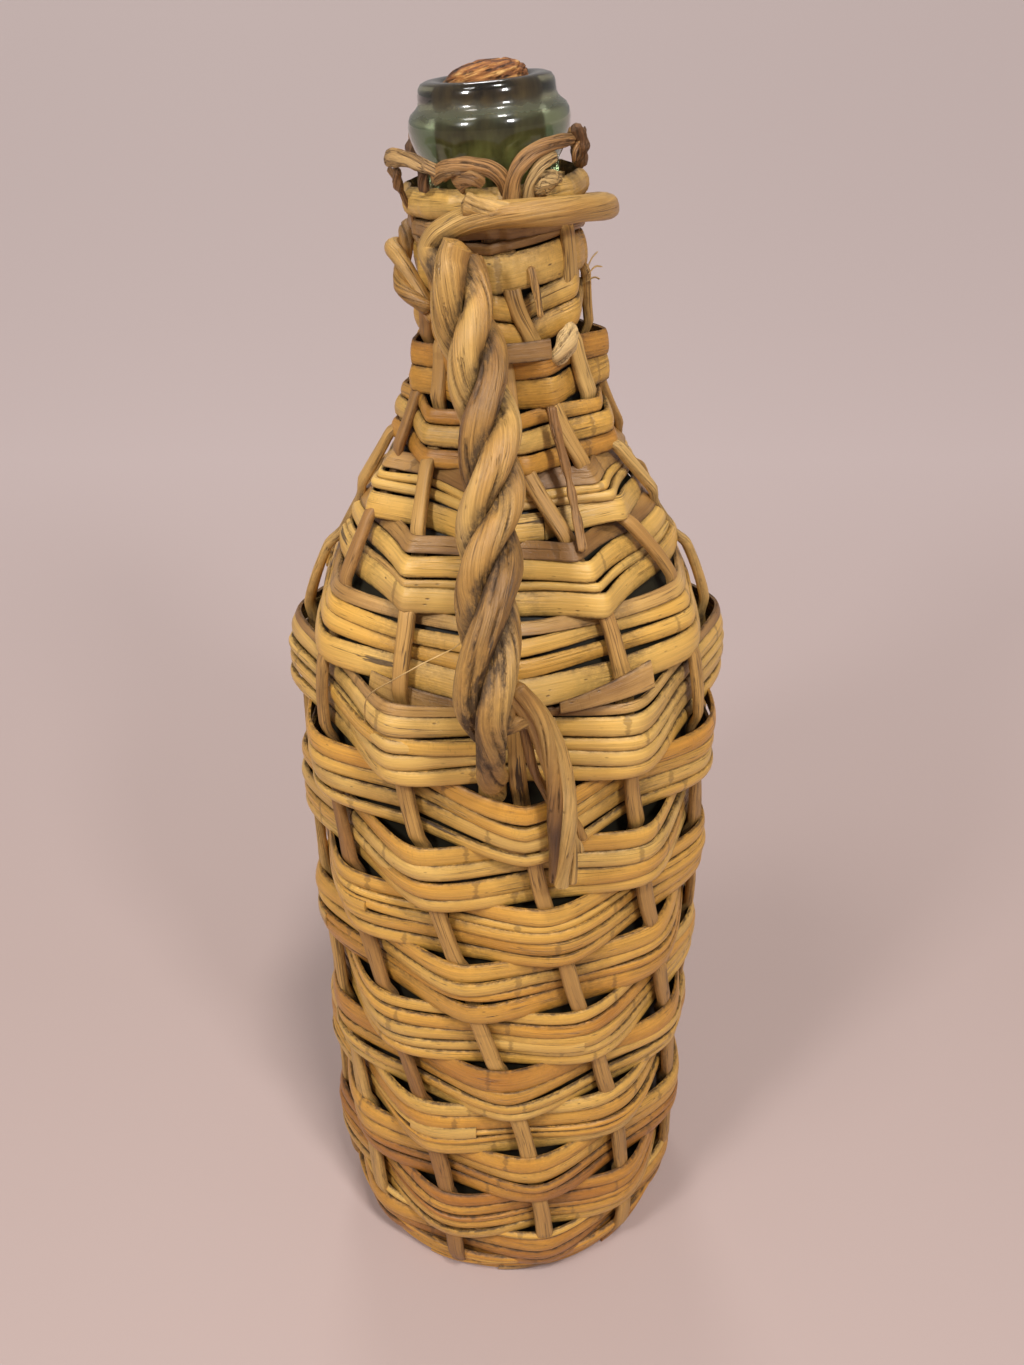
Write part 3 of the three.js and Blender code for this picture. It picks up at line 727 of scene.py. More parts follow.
def glass_material():
    """Clear at the lip, with a worn step between its rings, and dark under the cover: rough with dust,
    opaque, and painted dark as the shade inside the covered bottle.
    """
    n = Nodes("pale_green_glass")
    place, (x, _, z) = n.place()
    height = n.plus(n.times(x, -math.sin(LEAN_ANGLE)), n.times(z, math.cos(LEAN_ANGLE)))
    height = n.plus(height, LEAN_RISE)
    smear = n.span(n.noise(place, 160.0), 0.35, 0.65, -0.0008, 0.0008)
    worn = n.span(n.away(n.plus(height, smear), LIP_STEP), 0.0004, 0.0030, 0.2, 0)
    # Under the cover: rough with dust, and painted dark and opaque as shade
    dust_and_shade = n.span(height, 0.416, 0.426, 1, 0)
    tone = n.mix(n.span(height, 0.442, 0.447), RING_GLASS, COLLAR_GLASS)
    tone = n.mix(dust_and_shade, n.mix(worn, tone, WORN_GLASS), COVERED_GLASS)
    rough = n.plus(n.span(dust_and_shade, 0, 1, 0.17, 0.42), n.times(worn, 0.6))
    through = n.minus(n.span(dust_and_shade, 0, 1, 1, 0), n.times(worn, 0.8))
    return n.surface({"Base Color": tone, "Roughness": rough, "IOR": 1.36, "Transmission Weight": through,
                      "Coat Weight": through, "Coat Roughness": 0.05}, n.noise(place, 38.0, 2.0), 0.3, 0.0012)


CORK_LAYERS = [(0.38, (0.035, 0.011, 0.004)), (0.46, (0.22, 0.07, 0.015)), (0.54, (0.48, 0.195, 0.044)),
               (0.64, (0.80, 0.48, 0.16))]
CORK_GRAIN = (0.22, 0.08, 0.025, 1)
CORK_PIT = (0.04, 0.016, 0.007, 1)
# The shank's colours up the neck: stained, and painted darker as the shade inside the glass neck
CORK_STAIN_AND_SHADE = [(0, (0.20, 0.155, 0.07)), (0.38, (0.13, 0.095, 0.045)), (0.62, (0.12, 0.075, 0.032)),
              (1, (0.2, 0.125, 0.055))]
CORK_SIDE = (0.46, 0.37, 0.22, 1)


def cork_material():
    """Layered, pitted cork, whose shank is stained dark by what the bottle held and painted dark as the shade
    inside the neck, with painted glints and light of the glass over it.
    """
    n = Nodes("old_cork")
    place, (x, _, height) = n.place()
    turned = n.add("VectorRotate", {"Vector": place, "Axis": (0, 1, 0), "Angle": 0.3}).outputs[0]
    layers = n.noise(n.stretch(turned, 60, 130, 620), 1.0, 5.0, 0.65)
    grains = n.noise(place, 900.0, 3.0, 0.6)
    pits = n.span(n.dots(n.stretch(turned, 300, 300, 700)), 0.14, 0.34, 1, 0)
    pits = n.times(pits, n.span(layers, 0.4, 0.6, 1, 0.2))
    colour = n.mix(n.span(grains, 0.3, 0.7, 0, 0.4), n.ramp(layers, CORK_LAYERS), CORK_GRAIN)
    colour = n.mix(pits, colour, CORK_PIT)
    cloud = n.plus(height, n.span(n.noise(place, 70.0, 2.0), 0.3, 0.7, -0.005, 0.005))
    # Bright and dark streaks over the shank: painted glints and reflections of the glass lip
    streaks = n.span(n.noise(n.stretch(place, 170, 170, 70)), 0.34, 0.66, 0.15, 2.1)
    stain_and_shade = n.mix(1, n.ramp(n.span(cloud, 0.428, 0.450), CORK_STAIN_AND_SHADE), streaks, "MULTIPLY")
    # Paler grey-green towards the shank's left and right: painted light coming through the clear glass there
    stain_and_shade = n.mix(n.span(n.away(x, -0.0047), 0.006, 0.0112, 0, 0.3), stain_and_shade, CORK_SIDE)
    colour = n.mix(n.span(height, 0.4495, 0.4515, 0.95, 0), colour, stain_and_shade)
    rise = n.minus(n.plus(n.times(layers, 2.0), n.times(grains, 0.3)), pits)
    rise = n.times(rise, n.span(height, 0.4495, 0.4515, 0.05, 1))
    return n.surface({"Base Color": colour, "Roughness": 0.72}, rise, 1.0, 0.0012)


cane = willow("split_cane", CANE, gloss=0.31)
stake_wood = willow("willow_stake", STAKE, streak=0.6, crack=0.3, rings=0.2, gloss=0.48, cracks=0.1)
border_wood = willow("peeled_willow", PEELED, streak=1.0, crack=0.4, rings=0.2, gloss=0.46, relief=0.0008,
                     mottle=0.4, cracks=0.25)
rope_wood = willow("twisted_willow", ROPE, streak=0.95, crack=0.15, rings=0.0, gloss=0.36, relief=0.0006,
                   mottle=0.42, cracks=0.03)
mat_wood = willow("base_willow", MAT, streak=0.6, crack=0.4, rings=0.4, gloss=0.55)


def revolve(outline, segments, worked=None):
    """Rings of a solid of revolution from a closed [radius, height] outline, round the neck's bent axis."""
    turn = TURN * np.arange(segments)[:, None] / segments
    radius, height = (np.broadcast_to(side, (segments, len(outline))) for side in np.array(outline, float).T)
    if worked is not None:
        radius, height = worked(radius, height, turn)
    return lean(polar(radius, turn, height))


def round_piece(name, node, body, material, rings):
    """A piece from rings that close on themselves both ways."""
    index = np.arange(rings[..., 0].size).reshape(rings.shape[:2])
    across = np.roll(index, -1, axis=1)
    quads = np.stack([index, across, np.roll(across, -1, axis=0), np.roll(index, -1, axis=0)], -1)
    quads = quads.reshape(-1, 4)
    points = rings.reshape(-1, 3)
    quads = quads if faces_out(points, quads) else quads[:, ::-1]
    new_piece(name, node, body, material, points, quads.tolist())


def heel(radius, start, end, steps):
    """Radius and height points round the bottle's heel, from one angle to another."""
    angle = np.linspace(start, end, steps) * DEGREE
    return list(zip(BODY_RADIUS - HEEL_RADIUS + radius * np.cos(angle),
                    GLASS_FOOT + HEEL_RADIUS + radius * np.sin(angle)))


def bottle():
    punt = [(PUNT_RADIUS * r, GLASS_FOOT + PUNT_RISE * z) for r, z in PUNT_LINE]
    outer = [(AXIS, GLASS_FOOT + PUNT_RISE), *punt, *heel(HEEL_RADIUS, -90, 0, 7), (BODY_RADIUS, 120),
             (BODY_RADIUS, 200), *shoulder(BODY_RADIUS, NECK_RADIUS, 28), (NECK_RADIUS, 410), *LIP_LINE]
    inner = [(BORE_RADIUS + 0.3, 449.8), (BORE_RADIUS, 448.6), (BORE_RADIUS, 430), (BORE_RADIUS, BORE_END),
             (NECK_BORE_RADIUS, BORE_END - 7), *shoulder(BODY_RADIUS - WALL, NECK_BORE_RADIUS, 24)[::-1],
             (BODY_RADIUS - WALL, 130), *heel(HEEL_RADIUS - WALL, 0, -90, 6),
             (PUNT_RADIUS * 0.9, GLASS_FOOT + PUNT_RISE * 0.24 + WALL),
             (PUNT_RADIUS * 0.6, GLASS_FOOT + PUNT_RISE * 0.72 + WALL), (AXIS, GLASS_FOOT + PUNT_RISE + WALL)]
    rings = revolve(outer + inner, GLASS_SEGMENTS)
    round_piece("bottle_glass", "glass_bottle", "bottle", glass_material(), rings)


def cork():
    rng = np.random.default_rng(5)
    outline = [(AXIS, CORK_FOOT), (CORK_FOOT_RADIUS - 1, CORK_FOOT), (CORK_FOOT_RADIUS, CORK_FOOT + 1)]
    outline += [(CORK_RADIUS, z) for z in np.linspace(424, 449.5, 7)]
    rise = CORK_TOP - CORK_HEAD_FOOT - 0.5
    outline += [(CORK_HEAD_RADIUS * math.cos(a) ** 0.42 + AXIS, CORK_HEAD_FOOT + rise * math.sin(a) ** 0.8)
                for a in np.linspace(0, math.pi / 2, CORK_DOME_STEPS)]

    def chipped(radius, height, turn):
        """Rough layers that slope up to the right, with the left side worn down and chips out of the edge."""
        top = smooth(height, CORK_HEAD_FOOT, 3)
        x, y = radius * np.sin(turn), -radius * np.cos(turn)
        worn = 0.2 * np.maximum(-x - 2, 0) + 0.06 * np.maximum(x - 7, 0)
        rough = np.zeros(radius.shape)
        for _ in range(CORK_CHIPS):
            at, ring, wide = rng.random() * TURN, rng.uniform(0, CORK_HEAD_RADIUS), rng.uniform(0.5, 2.0)
            near = ((x - ring * math.sin(at)) * 0.7) ** 2 + ((y + ring * math.cos(at)) * 1.5) ** 2
            rough = rough + rng.uniform(-1.1, 0.6) * np.exp(-near / wide**2)
        layer = (height - 0.3 * x + 0.5 * np.sin(turn * 3)) / 1.7
        crack = np.exp(-(((layer % 1) - 0.5) / 0.13) ** 2) * (0.6 + 0.4 * np.sin(turn * 5 + 1))
        ragged = 0.3 * np.sin(turn * 9 + height * 1.3) + 0.25 * np.sin(turn * 17 - height * 2.1)
        edge = (radius / CORK_HEAD_RADIUS) ** 2
        worked = radius + top * (0.5 * ragged - 0.75 * crack) * edge
        return worked, height + top * (0.75 * rough - worn - 0.3 * crack)
    rings = revolve(outline, CORK_SEGMENTS, chipped)
    round_piece("cork_plug", "cork_stopper", "cork", cork_material(), rings)


def oval(share):
    return 0.4 + 3.1 * np.sqrt(np.clip(1 - (2 * share - 1) ** 2, 0, 1))


# Splints and frayed ends beside the stakes: points [radius, turn, height], radius, width out, tint
SPLINTS = {
    2: [([(26.4, 19.3, 405), (27.3, 20, 402), (28.6, 21, 395.4), (29.2, 21.6, 391)], 1.1, 0.5, 0.2),
        ([(28.6, 28, 377.4), (30, 31.5, 379.8), (30.6, 35.8, 382.6), (30.2, 40, 385.6), (29, 43.5, 388)],
         oval, 0.4, 0.97),
        ([(36.4, 21.2, 368), (38.6, 22, 362), (43.4, 24.2, 350.2), (49.6, 24.4, 339), (56, 24.1, 329)],
         1.45, 0.5, 0.1)],
    3: [([(26.5, 72, 399), (28, 74, 402), (29.6, 78, 403.5)], 0.22, 1, 0.9),
        ([(26.5, 76, 397.5), (28.4, 81, 399), (30.4, 85, 398.4)], 0.22, 1, 0.9),
        ([(26.5, 70, 396), (28.2, 76, 396.6), (29.6, 82, 395.4)], 0.22, 1, 0.8)],
    11: [([(77, -9, 314), (79.5, -10.2, 312.5), (82.5, -16.5, 307.5), (83, -23.4, 300), (81.5, -31, 290),
           (78, -34.6, 277)], 0.2, 1, 0.8)],
}


def stake_out(stake, along):
    """Distance of a stake's middle from the glass: it dips under one band and stands over the next."""
    out = STAKE_UNDER - 0.9 * smooth(along, 370, 20)
    for band in range(BANDS):
        if stake_shows(stake, band):
            share = np.abs(along - band_middle(band)) / band_pitch(band)
            over = (STAKE_OVER - STAKE_UNDER) * smooth((0.72 - share) / 0.3)
            out = np.maximum(out, STAKE_UNDER + over)
    return out - 1.6 * smooth((FOOT_TUCK - along) / 9)


def stake(number):
    rng = np.random.default_rng(300 + number)
    along = np.linspace(STAKE_FOOT, STAKE_TIP, STAKE_STEPS)
    share = np.linspace(0, 1, STAKE_STEPS)
    middle = stake_turn(number, along) + waves(share, rng, 0.5, 2, 9) / cover_radius(along)
    out = stake_out(number, along)
    wide = STAKE_HALF_WIDTH * (1.1 - 0.42 * share) * (1 + waves(share, rng, 0.07, 2, 14))
    wide = wide * rng.uniform(0.86, 1.12)
    thick = STAKE_HALF_THICKNESS * (1 - 0.34 * share) * rng.uniform(0.85, 1.05)
    lean_over = waves(share, rng, 0.16, 2, 7)
    angle = TURN * np.arange(STAKE_SIDES) / STAKE_SIDES
    across = np.sign(np.cos(angle)) * np.abs(np.cos(angle)) ** 0.6
    crown = np.sign(np.sin(angle)) * np.abs(np.sin(angle)) ** 0.75
    place_out = out[:, None] + thick[:, None] * crown + (wide * lean_over)[:, None] * across
    place_turn = middle[:, None] + wide[:, None] * across / cover_radius(along)[:, None]
    rings = on_cover(along[:, None], np.maximum(place_out, 0.1), place_turn)
    grain = wood_place(wide[:, None] * across, thick[:, None] * crown, along[:, None], rng)
    tint = STAKE_TINTS.get(number, rng.uniform(0.25, 0.75))
    # Darker where the stake lies under a band than where it passes over: grime and painted shade
    dirt_and_shade = 0.8 - 0.75 * (out - STAKE_UNDER) / (STAKE_OVER - STAKE_UNDER)
    shape = Shape()
    # The stake's edges count as deep, where the material paints shade and grime
    shape.add(rings, grain, stacked(tint, dirt_and_shade[:, None], np.abs(np.cos(angle)) ** 6 * 0.5))
    for points, radius, wide_out, splint_tint in SPLINTS.get(number, []):
        placed_rod(shape, points, radius, rng, splint_tint, wide=wide_out, lumps=0.12)
    shape.place("willow", f"stake_{number + 1:02d}", "stake", stake_wood)


def body_strips(band, rng):
    """Strips of a band of the body, from below up: share of the height, tint, flatness and tilt of each."""
    count = STRIPS_OF_BAND[band]
    widths = rng.uniform(0.55, 1.5, count)
    tints = np.clip(rng.normal(0.22 + 0.037 * band, 0.17, count), 0.03, 0.68)
    flats = rng.uniform(0, 0.35, count)
    if band in FLAT_TOP_BANDS:
        tints[-1], flats[-1] = 0.9, 0.8
    return widths, tints, flats, rng.normal(0, 0.05, count)


def loose_end(shape, band, rng):
    """The end of a strip that comes out from under a stake, lies on the others and is cut off."""
    middle, pitch = band_middle(band), band_pitch(band)
    starts = shown_stakes(band)
    place = rng.uniform(-0.6, 0.6)
    turn = stake_turn(starts[rng.integers(len(starts))], middle) + np.linspace(0, rng.uniform(0.45, 0.95), 50)
    if band in LOOSE_ENDS:
        turn = np.linspace(*LOOSE_ENDS[band], 50) * DEGREE
    along = middle + pitch * WIDE_SHARE * place
    lift = band_lift(band, along, turn, BODY_CORNER)
    out = STRIP_GAP + STRIP_THICKNESS * 0.8 + (STRIP_OVER + BAND_BULGE.get(band, 0)) * lift
    along = along + np.linspace(0, rng.uniform(-3, 3), len(turn))
    strip(shape, turn, along, out, pitch * rng.uniform(0.09, 0.14), LOOSE_THICKNESS, rng,
          rng.uniform(0.3, 0.9), 0.15, 0.4)


def weave_band(band):
    rng = np.random.default_rng(40 + band)
    shape = Shape()
    pitch = band_pitch(band)
    middle = band_middle(band) + BAND_RISE.get(band, 0)
    over, base, upright = STRIP_OVER, 0, 0
    if band in UPPER_BANDS:
        over, base, upright, strips = UPPER_BANDS[band]
        widths, tints, flats, tilts = (np.array(values) for values in zip(*strips))
    else:
        widths, tints, flats, tilts = body_strips(band, rng)
    on_neck = band >= FIRST_NECK_BAND
    # How unevenly a band and its strips run, how far its strips roll over a stake, and its grime and painted
    # shade, which on the body is heavier on the lower bands as painted shade towards the foot
    uneven, loose, roll, band_soil_and_shade = (0.35, 0.25, 0, 0.42) if on_neck else (0.7, 0.5, 0.2, 0.4 - 0.03 * band)
    up_r, up_z = cover_up(middle)
    standing = upright * -up_r / up_z
    edges = 2 * np.cumsum([0, *widths]) / widths.sum() - 1
    round_share = np.linspace(0, 1, STRIP_STEPS + 1)
    bends = rng.normal(0, uneven, STAKES)
    bends = np.array([BAND_BENDS.get((band, stake), bends[stake]) for stake in range(STAKES)])
    over_more = rng.normal(0.4 + BAND_BULGE.get(band, 0), 0.6, STAKES)
    if band in UPPER_BANDS:
        over_more = [BAND_CORNERS.get((band, stake), 0) for stake in range(STAKES)]
    spread = [0 if stake_shows(stake, band) else 1 for stake in range(STAKES)]
    ends = shown_stakes(band) or [STAKES // 2]
    narrow, wide = band_shares(band)
    corner = NECK_CORNER + (BODY_CORNER - NECK_CORNER) * smooth((BODY_BANDS - band) / 3)
    for low, high, tint, flat, lie in zip(edges, edges[1:], tints, flats, tilts):
        first = stake_turn(ends[rng.integers(len(ends))], middle)
        turn = first + STRIP_OPENING + (TURN - 2 * STRIP_OPENING) * round_share
        place = (low + high) / 2
        lift = band_lift(band, middle + pitch * WIDE_SHARE * place, turn, corner * rng.uniform(0.6, 1.3))
        half_height = pitch * (narrow + (wide - narrow) * straight_runs(turn, middle, spread))
        if band == 0:
            half_height = half_height * FIRST_BAND_SHARE
        sway = straight_runs(turn, middle, bends + rng.normal(0, loose, STAKES))
        if band == COLLAR_BAND:
            sway = sway * COLLAR_SWAY
        half_width = half_height * (high - low) / 2 - STRIP_LINE / 2
        half_width = half_width + straight_runs(turn, middle, rng.normal(0, 0.16, STAKES))
        slack = np.abs(straight_runs(turn, middle, rng.normal(0, 0.5, STAKES)))
        lift_by = over + straight_runs(turn, middle, over_more)
        out = STRIP_GAP + base + lift_by * lift + slack - 0.9 * place**2 * lift
        out = out + standing * half_height * (place + 0.6)
        tilt = straight_runs(turn, middle, rng.normal(0, 0.06, STAKES)) + lie + standing - roll * place * lift
        thickness = STRIP_THICKNESS * rng.uniform(0.8, 1.15) * (1 - 0.35 * flat)
        # Darker where the strip lies on the glass under a stake, less where it is lifted: grime and painted
        # shade
        dirt_and_shade = 0.65 * (1 - smooth(lift * 2.2)) ** 1.5 + band_soil_and_shade
        level = LEVEL_SHARE * up_r / up_z * lift_by * lift
        along = middle + half_height * place + sway + level
        strip(shape, turn, along, out, half_width, thickness, rng, tint, dirt_and_shade, flat, tilt)
    if band < BODY_BANDS:
        loose_end(shape, band, rng)
    if band in LAID_PIECES:
        *runs, tint = LAID_PIECES[band]
        turn, height, out, half_width = (np.linspace(*run, 40) for run in runs)
        strip(shape, turn * DEGREE, along_at(height), out, half_width, LOOSE_THICKNESS, rng, tint, 0.2, 0.9)
    shape.place("cane", f"weave_band_{band + 1:02d}", "cane", cane)


def base_mat():
    """Spokes, and rounds that pass over and under them."""
    rng = np.random.default_rng(77)
    shape = Shape()
    for spoke in range(STAKES):
        turn = TURN * spoke / STAKES
        ends = [polar(radius, turn, 3.5) for radius in (5, 30, 58)]
        rod(shape, ends, 1.9, rng, 0.5, dirt_and_shade=0.4, sides=10, step=3)
    turn = np.linspace(0.01, TURN - 0.01, 73)
    for number, radius in enumerate(np.arange(7, 59, 5.2)):
        height = 3.4 + 1.15 * np.cos(STAKES / 2 * turn + math.pi * number)
        rod(shape, polar(radius + waves(turn / TURN, rng, 0.3, 1, 4), turn, height), 1.75, rng,
            rng.uniform(0.25, 0.75), dirt_and_shade=0.35, sides=10, step=2.5, wide=1.3)
    shape.place("willow", "base_mat", "base", mat_wood)


def foot_border():
    """Strips round the bottom edge, and short ones that slant up across them."""
    rng = np.random.default_rng(78)
    shape = Shape()
    turn = np.linspace(0.004, TURN - 0.004, 217)
    share = turn / TURN
    for number in range(7):
        strip(shape, turn + number, 1.6 + 1.95 * number + waves(share, rng, 0.45, 1, 6),
              3.3 + 0.12 * number + waves(share, rng, 0.4, 2, 8), rng.uniform(1.0, 1.5), 2.2, rng,
              rng.uniform(0.0, 0.35), 0.25, 0.1, 0.05)
    run = np.linspace(0, 0.8, 50)
    rise = smooth(run / 0.8)
    for number in range(10):
        start = TURN * number / 10 + rng.uniform(-0.15, 0.15)
        strip(shape, start + run, 3.5 + rng.uniform(6, 10) * rise, 5.0 - 1.0 * rise,
              rng.uniform(1.0, 1.6), 1.6, rng, rng.choice([0.1, 0.3, 0.9]), 0.25, 0.3)
    shape.place("willow", "foot_border", "base", cane)


# Border rods: the stakes' tips bent over below the lip, each a run of points [radius, turn, height]
BORDER_RADIUS = 2.25
STICK = [(25.6, -69, 416), (26, -68, 418.3), (28.5, -64.8, 424), (30, -64.7, 428.4), (31.4, -68, 432.4)]
FOLD = [(31.6, -73, 432.8), (32.1, -66, 434.4), (31.8, -58, 435.2), (30.9, -49, 435.2), (30.2, -42, 434.2),
        (29.5, -35.5, 433), (28.8, -29, 431.6), (28, -24, 430)]
FOLD_KNOT = [(29.2, -66, 426), (30.4, -62, 429), (31, -58, 432.4)]
POST = [(27.4, -43.5, 426), (28.2, -43, 429), (28.8, -41, 432.4)]
DIPPING = [(27.2, -37, 428.4), (28.4, -32, 430.6), (29.5, -25, 432.4), (30, -17, 433.2), (30, -8, 433),
           (29.8, 0, 431.8), (29, 6, 429), (27.2, 9.5, 424)]
RISING = [(26.6, 9, 419), (28.2, 10, 424), (29.5, 10.8, 428.1), (30, 13.2, 431), (30, 18.5, 433.6),
          (30, 25.4, 435.3), (29.5, 36, 436.1), (29, 54, 435.9)]
SPLIT_OFF = [(26.4, 19.5, 419), (27.5, 20, 422.6), (29, 20.7, 426.9), (29.5, 26.1, 430.6),
             (29.3, 32.8, 432.3), (29, 38.7, 432.9)]
STUMP = [(27.4, 64, 428), (28.8, 61, 432.4), (29.5, 57, 436.4), (29.5, 52.5, 439.4)]
CURL = [(27.4, -21, 427.6), (29.6, -16, 429.4), (30.6, -9.5, 429.8), (29.8, -3.5, 428.4)]
PITH = [(27.4, 23, 424.4), (28.3, 28, 425.8), (28.6, 35, 427), (28, 43, 427)]
SPLINTERS = 5
# Swellings along the tips
FOLD_SWELLING = knots((0.45,), (0.25,), (0.2,))
DIP_KNOT = knots((0.3, 0.6), (0.1, 0.1), (0.05, 0.06))
PITH_SWELLING = knots((0.3, 0.7), (0.25, 0.2), (0.1, 0.1))
STUMP_KNOT = knots((0.2, 0.5, 0.8), (0.25, 0.4, 0.25), (0.09, 0.1, 0.08))
# A tip that folds over at the left and meets one that dips under the next: points, radius, tint and shape
FOLDED_TIP = [
    (STICK, 0.75, 0.3, {"ends": (0.5, 0.3)}),
    (FOLD, lambda s: (2.5 - 0.7 * s) * (0.12 + 0.88 * smooth(s / 0.22)), 0.62,
     {"wide": 0.45, "lumps": 0.12, "ends": (0.3, 0.5)}),
    (FOLD_KNOT, lambda s: 1.6 * FOLD_SWELLING(s), 0.1, {"wide": 0.7, "lumps": 0.25, "ends": (0.8, 0.6)}),
    (POST, 1.7, 0.15, {"wide": 0.7, "ends": (0.4, 0.2)}),
    (DIPPING, lambda s: BORDER_RADIUS * DIP_KNOT(s) * (0.55 + 0.45 * smooth(s / 0.16)), 0.72,
     {"wide": 0.5, "lumps": 0.12, "ends": (0.9, 0.5)}),
    (CURL, lambda s: 2.9 - 1.2 * s, 0.7, {"wide": 0.22, "ends": (0.3, 0.15)}),
]
# A tip that comes up from under the collar, a split piece beside it, and a knotty stump with splinters
RISING_TIP = [
    (RISING, lambda s: 2.6 - 1.1 * s, 0.7, {"wide": 0.6, "lumps": 0.12, "ends": (0.5, 0.4)}),
    (SPLIT_OFF, lambda s: 1.85 - 0.3 * s, 0.85, {"wide": 0.6, "ends": (0.4, 0.12)}),
    (PITH, lambda s: 2.3 * PITH_SWELLING(s), 0.95,
     {"wide": 0.6, "lumps": 0.2, "splits": 9, "depth": 0.35, "ends": (0.4, 0.4)}),
    (STUMP, lambda s: 1.8 * STUMP_KNOT(s), 0.15,
     {"lumps": 0.2, "splits": 9, "depth": 0.35, "ends": (0.4, 0.5)}),
]


def border_tip(node, seed, turned, runs, drawn_in=0.0, splinters=0):
    """A border rod made of the runs of a tip, turned round the neck and drawn in towards it."""
    rng = np.random.default_rng(seed)
    shape = Shape()
    for points, radius, tint, shape_of in runs:
        lower = [(r - drawn_in, turn, height - drawn_in) for r, turn, height in points]
        placed_rod(shape, lower, radius, rng, tint, turned, **shape_of)
    for _ in range(splinters):
        at = 56 + rng.uniform(-5, 6)
        top = rng.uniform(435, 439)
        points = [(28.6, at, 430), (29.6, at + rng.uniform(-2, 2), (430 + top) / 2),
                  (29.8, at + rng.uniform(-5, 5), top)]
        placed_rod(shape, points, 0.6, rng, rng.uniform(0.1, 0.7), turned, ends=(0.3, 0.2))
    shape.place("willow", node, "border", border_wood)


def lay_points(strand, last_share):
    """Points of one strand of the rope, which turns to the left across the front going down."""
    line, length = spline(HANDLE_ROUTE, 1.0)

    def route_at(distance):
        return np.array([np.interp(distance, length, line[:, i]) for i in range(3)])
    points = []
    for share in last_share * np.arange(LAY_STEPS + 1) / LAY_STEPS:
        at = share * length[-1]
        down = route_at(at + 0.5) - route_at(at - 0.5)
        down /= np.linalg.norm(down)
        right = np.array([1, 0, 0]) - down * down[0]
        right /= np.linalg.norm(right)
        front = -np.cross(right, down)
        angle = np.interp(share, *zip(*LAY_ANGLES)) * DEGREE - TURN * strand / 3
        points.append(route_at(at) + LAY_RADIUS * (right * math.cos(angle) + front * math.sin(angle)))
    return points


def loop_points(side, first_turn=-90):
    """Points of the loop past a turn. Its two rods are told apart by side 1 and side -1."""
    radii, turns, heights = (values[::-1] for values in zip(*LOOP))
    points = []
    for turn in np.linspace(turns[-1], turns[0], LOOP_STEPS):
        if turn > first_turn:
            share = (turn - TWIST_FROM) / (turns[-1] - TWIST_FROM)
            phase = TURN * TWIST_TURNS * share + 0.6
            apart = side * TWIST_APART * smooth(share / 0.25)
            radius = np.interp(turn, turns, radii) + apart * math.cos(phase)
            height = np.interp(turn, turns, heights) + apart * math.sin(phase)
            points.append(polar(radius, turn * DEGREE, height))
    return points


def darker_below(share):
    """The handle is darker towards its lower end."""
    return 0.03 + 0.62 * smooth(share, 0.32, 0.5)


def rope_rod(shape, points, radius, rng, tint, core, twist, **shape_of):
    rod(shape, points, radius, rng, tint, dirt_and_shade=darker_below, sides=54, step=1.1, splits=5, twist=twist,
        lumps=0.05, core=core, **{"depth": 0.22, **shape_of})


def split_rod(shape, points, radius, rng, tint, wide):
    """A flattened piece split off a strand, which lies with its broad side out."""
    rod(shape, points, radius, rng, tint, dirt_and_shade=0.25, sides=40, step=0.9, splits=4, depth=0.3, twist=0.5,
        lumps=0.08, wide=wide, ends=(0.8, 0.12), first_side=(1, 0, 0))


def loop_radius(share):
    laid = TWIST_RADIUS + (LOOP_ROD_RADIUS - TWIST_RADIUS) * smooth(share, 0.17, 0.08)
    laid = laid + (STRAND_RADIUS - LOOP_ROD_RADIUS) * smooth(share, 0.55, 0.1)
    return laid * (1 - 0.7 * smooth(share, 0.93, 0.07))


def loop_tint(share):
    """The loop's bare rod is paler than the strand it runs on as."""
    return 0.57 + 0.17 * smooth(share, 0.17, 0.08) * (1 - smooth(share, 0.5, 0.12))


def loop_depth(share):
    """The loop's bare rod has shallower splits than the strand."""
    return 0.05 + 0.23 * smooth(share, 0.52, 0.08)


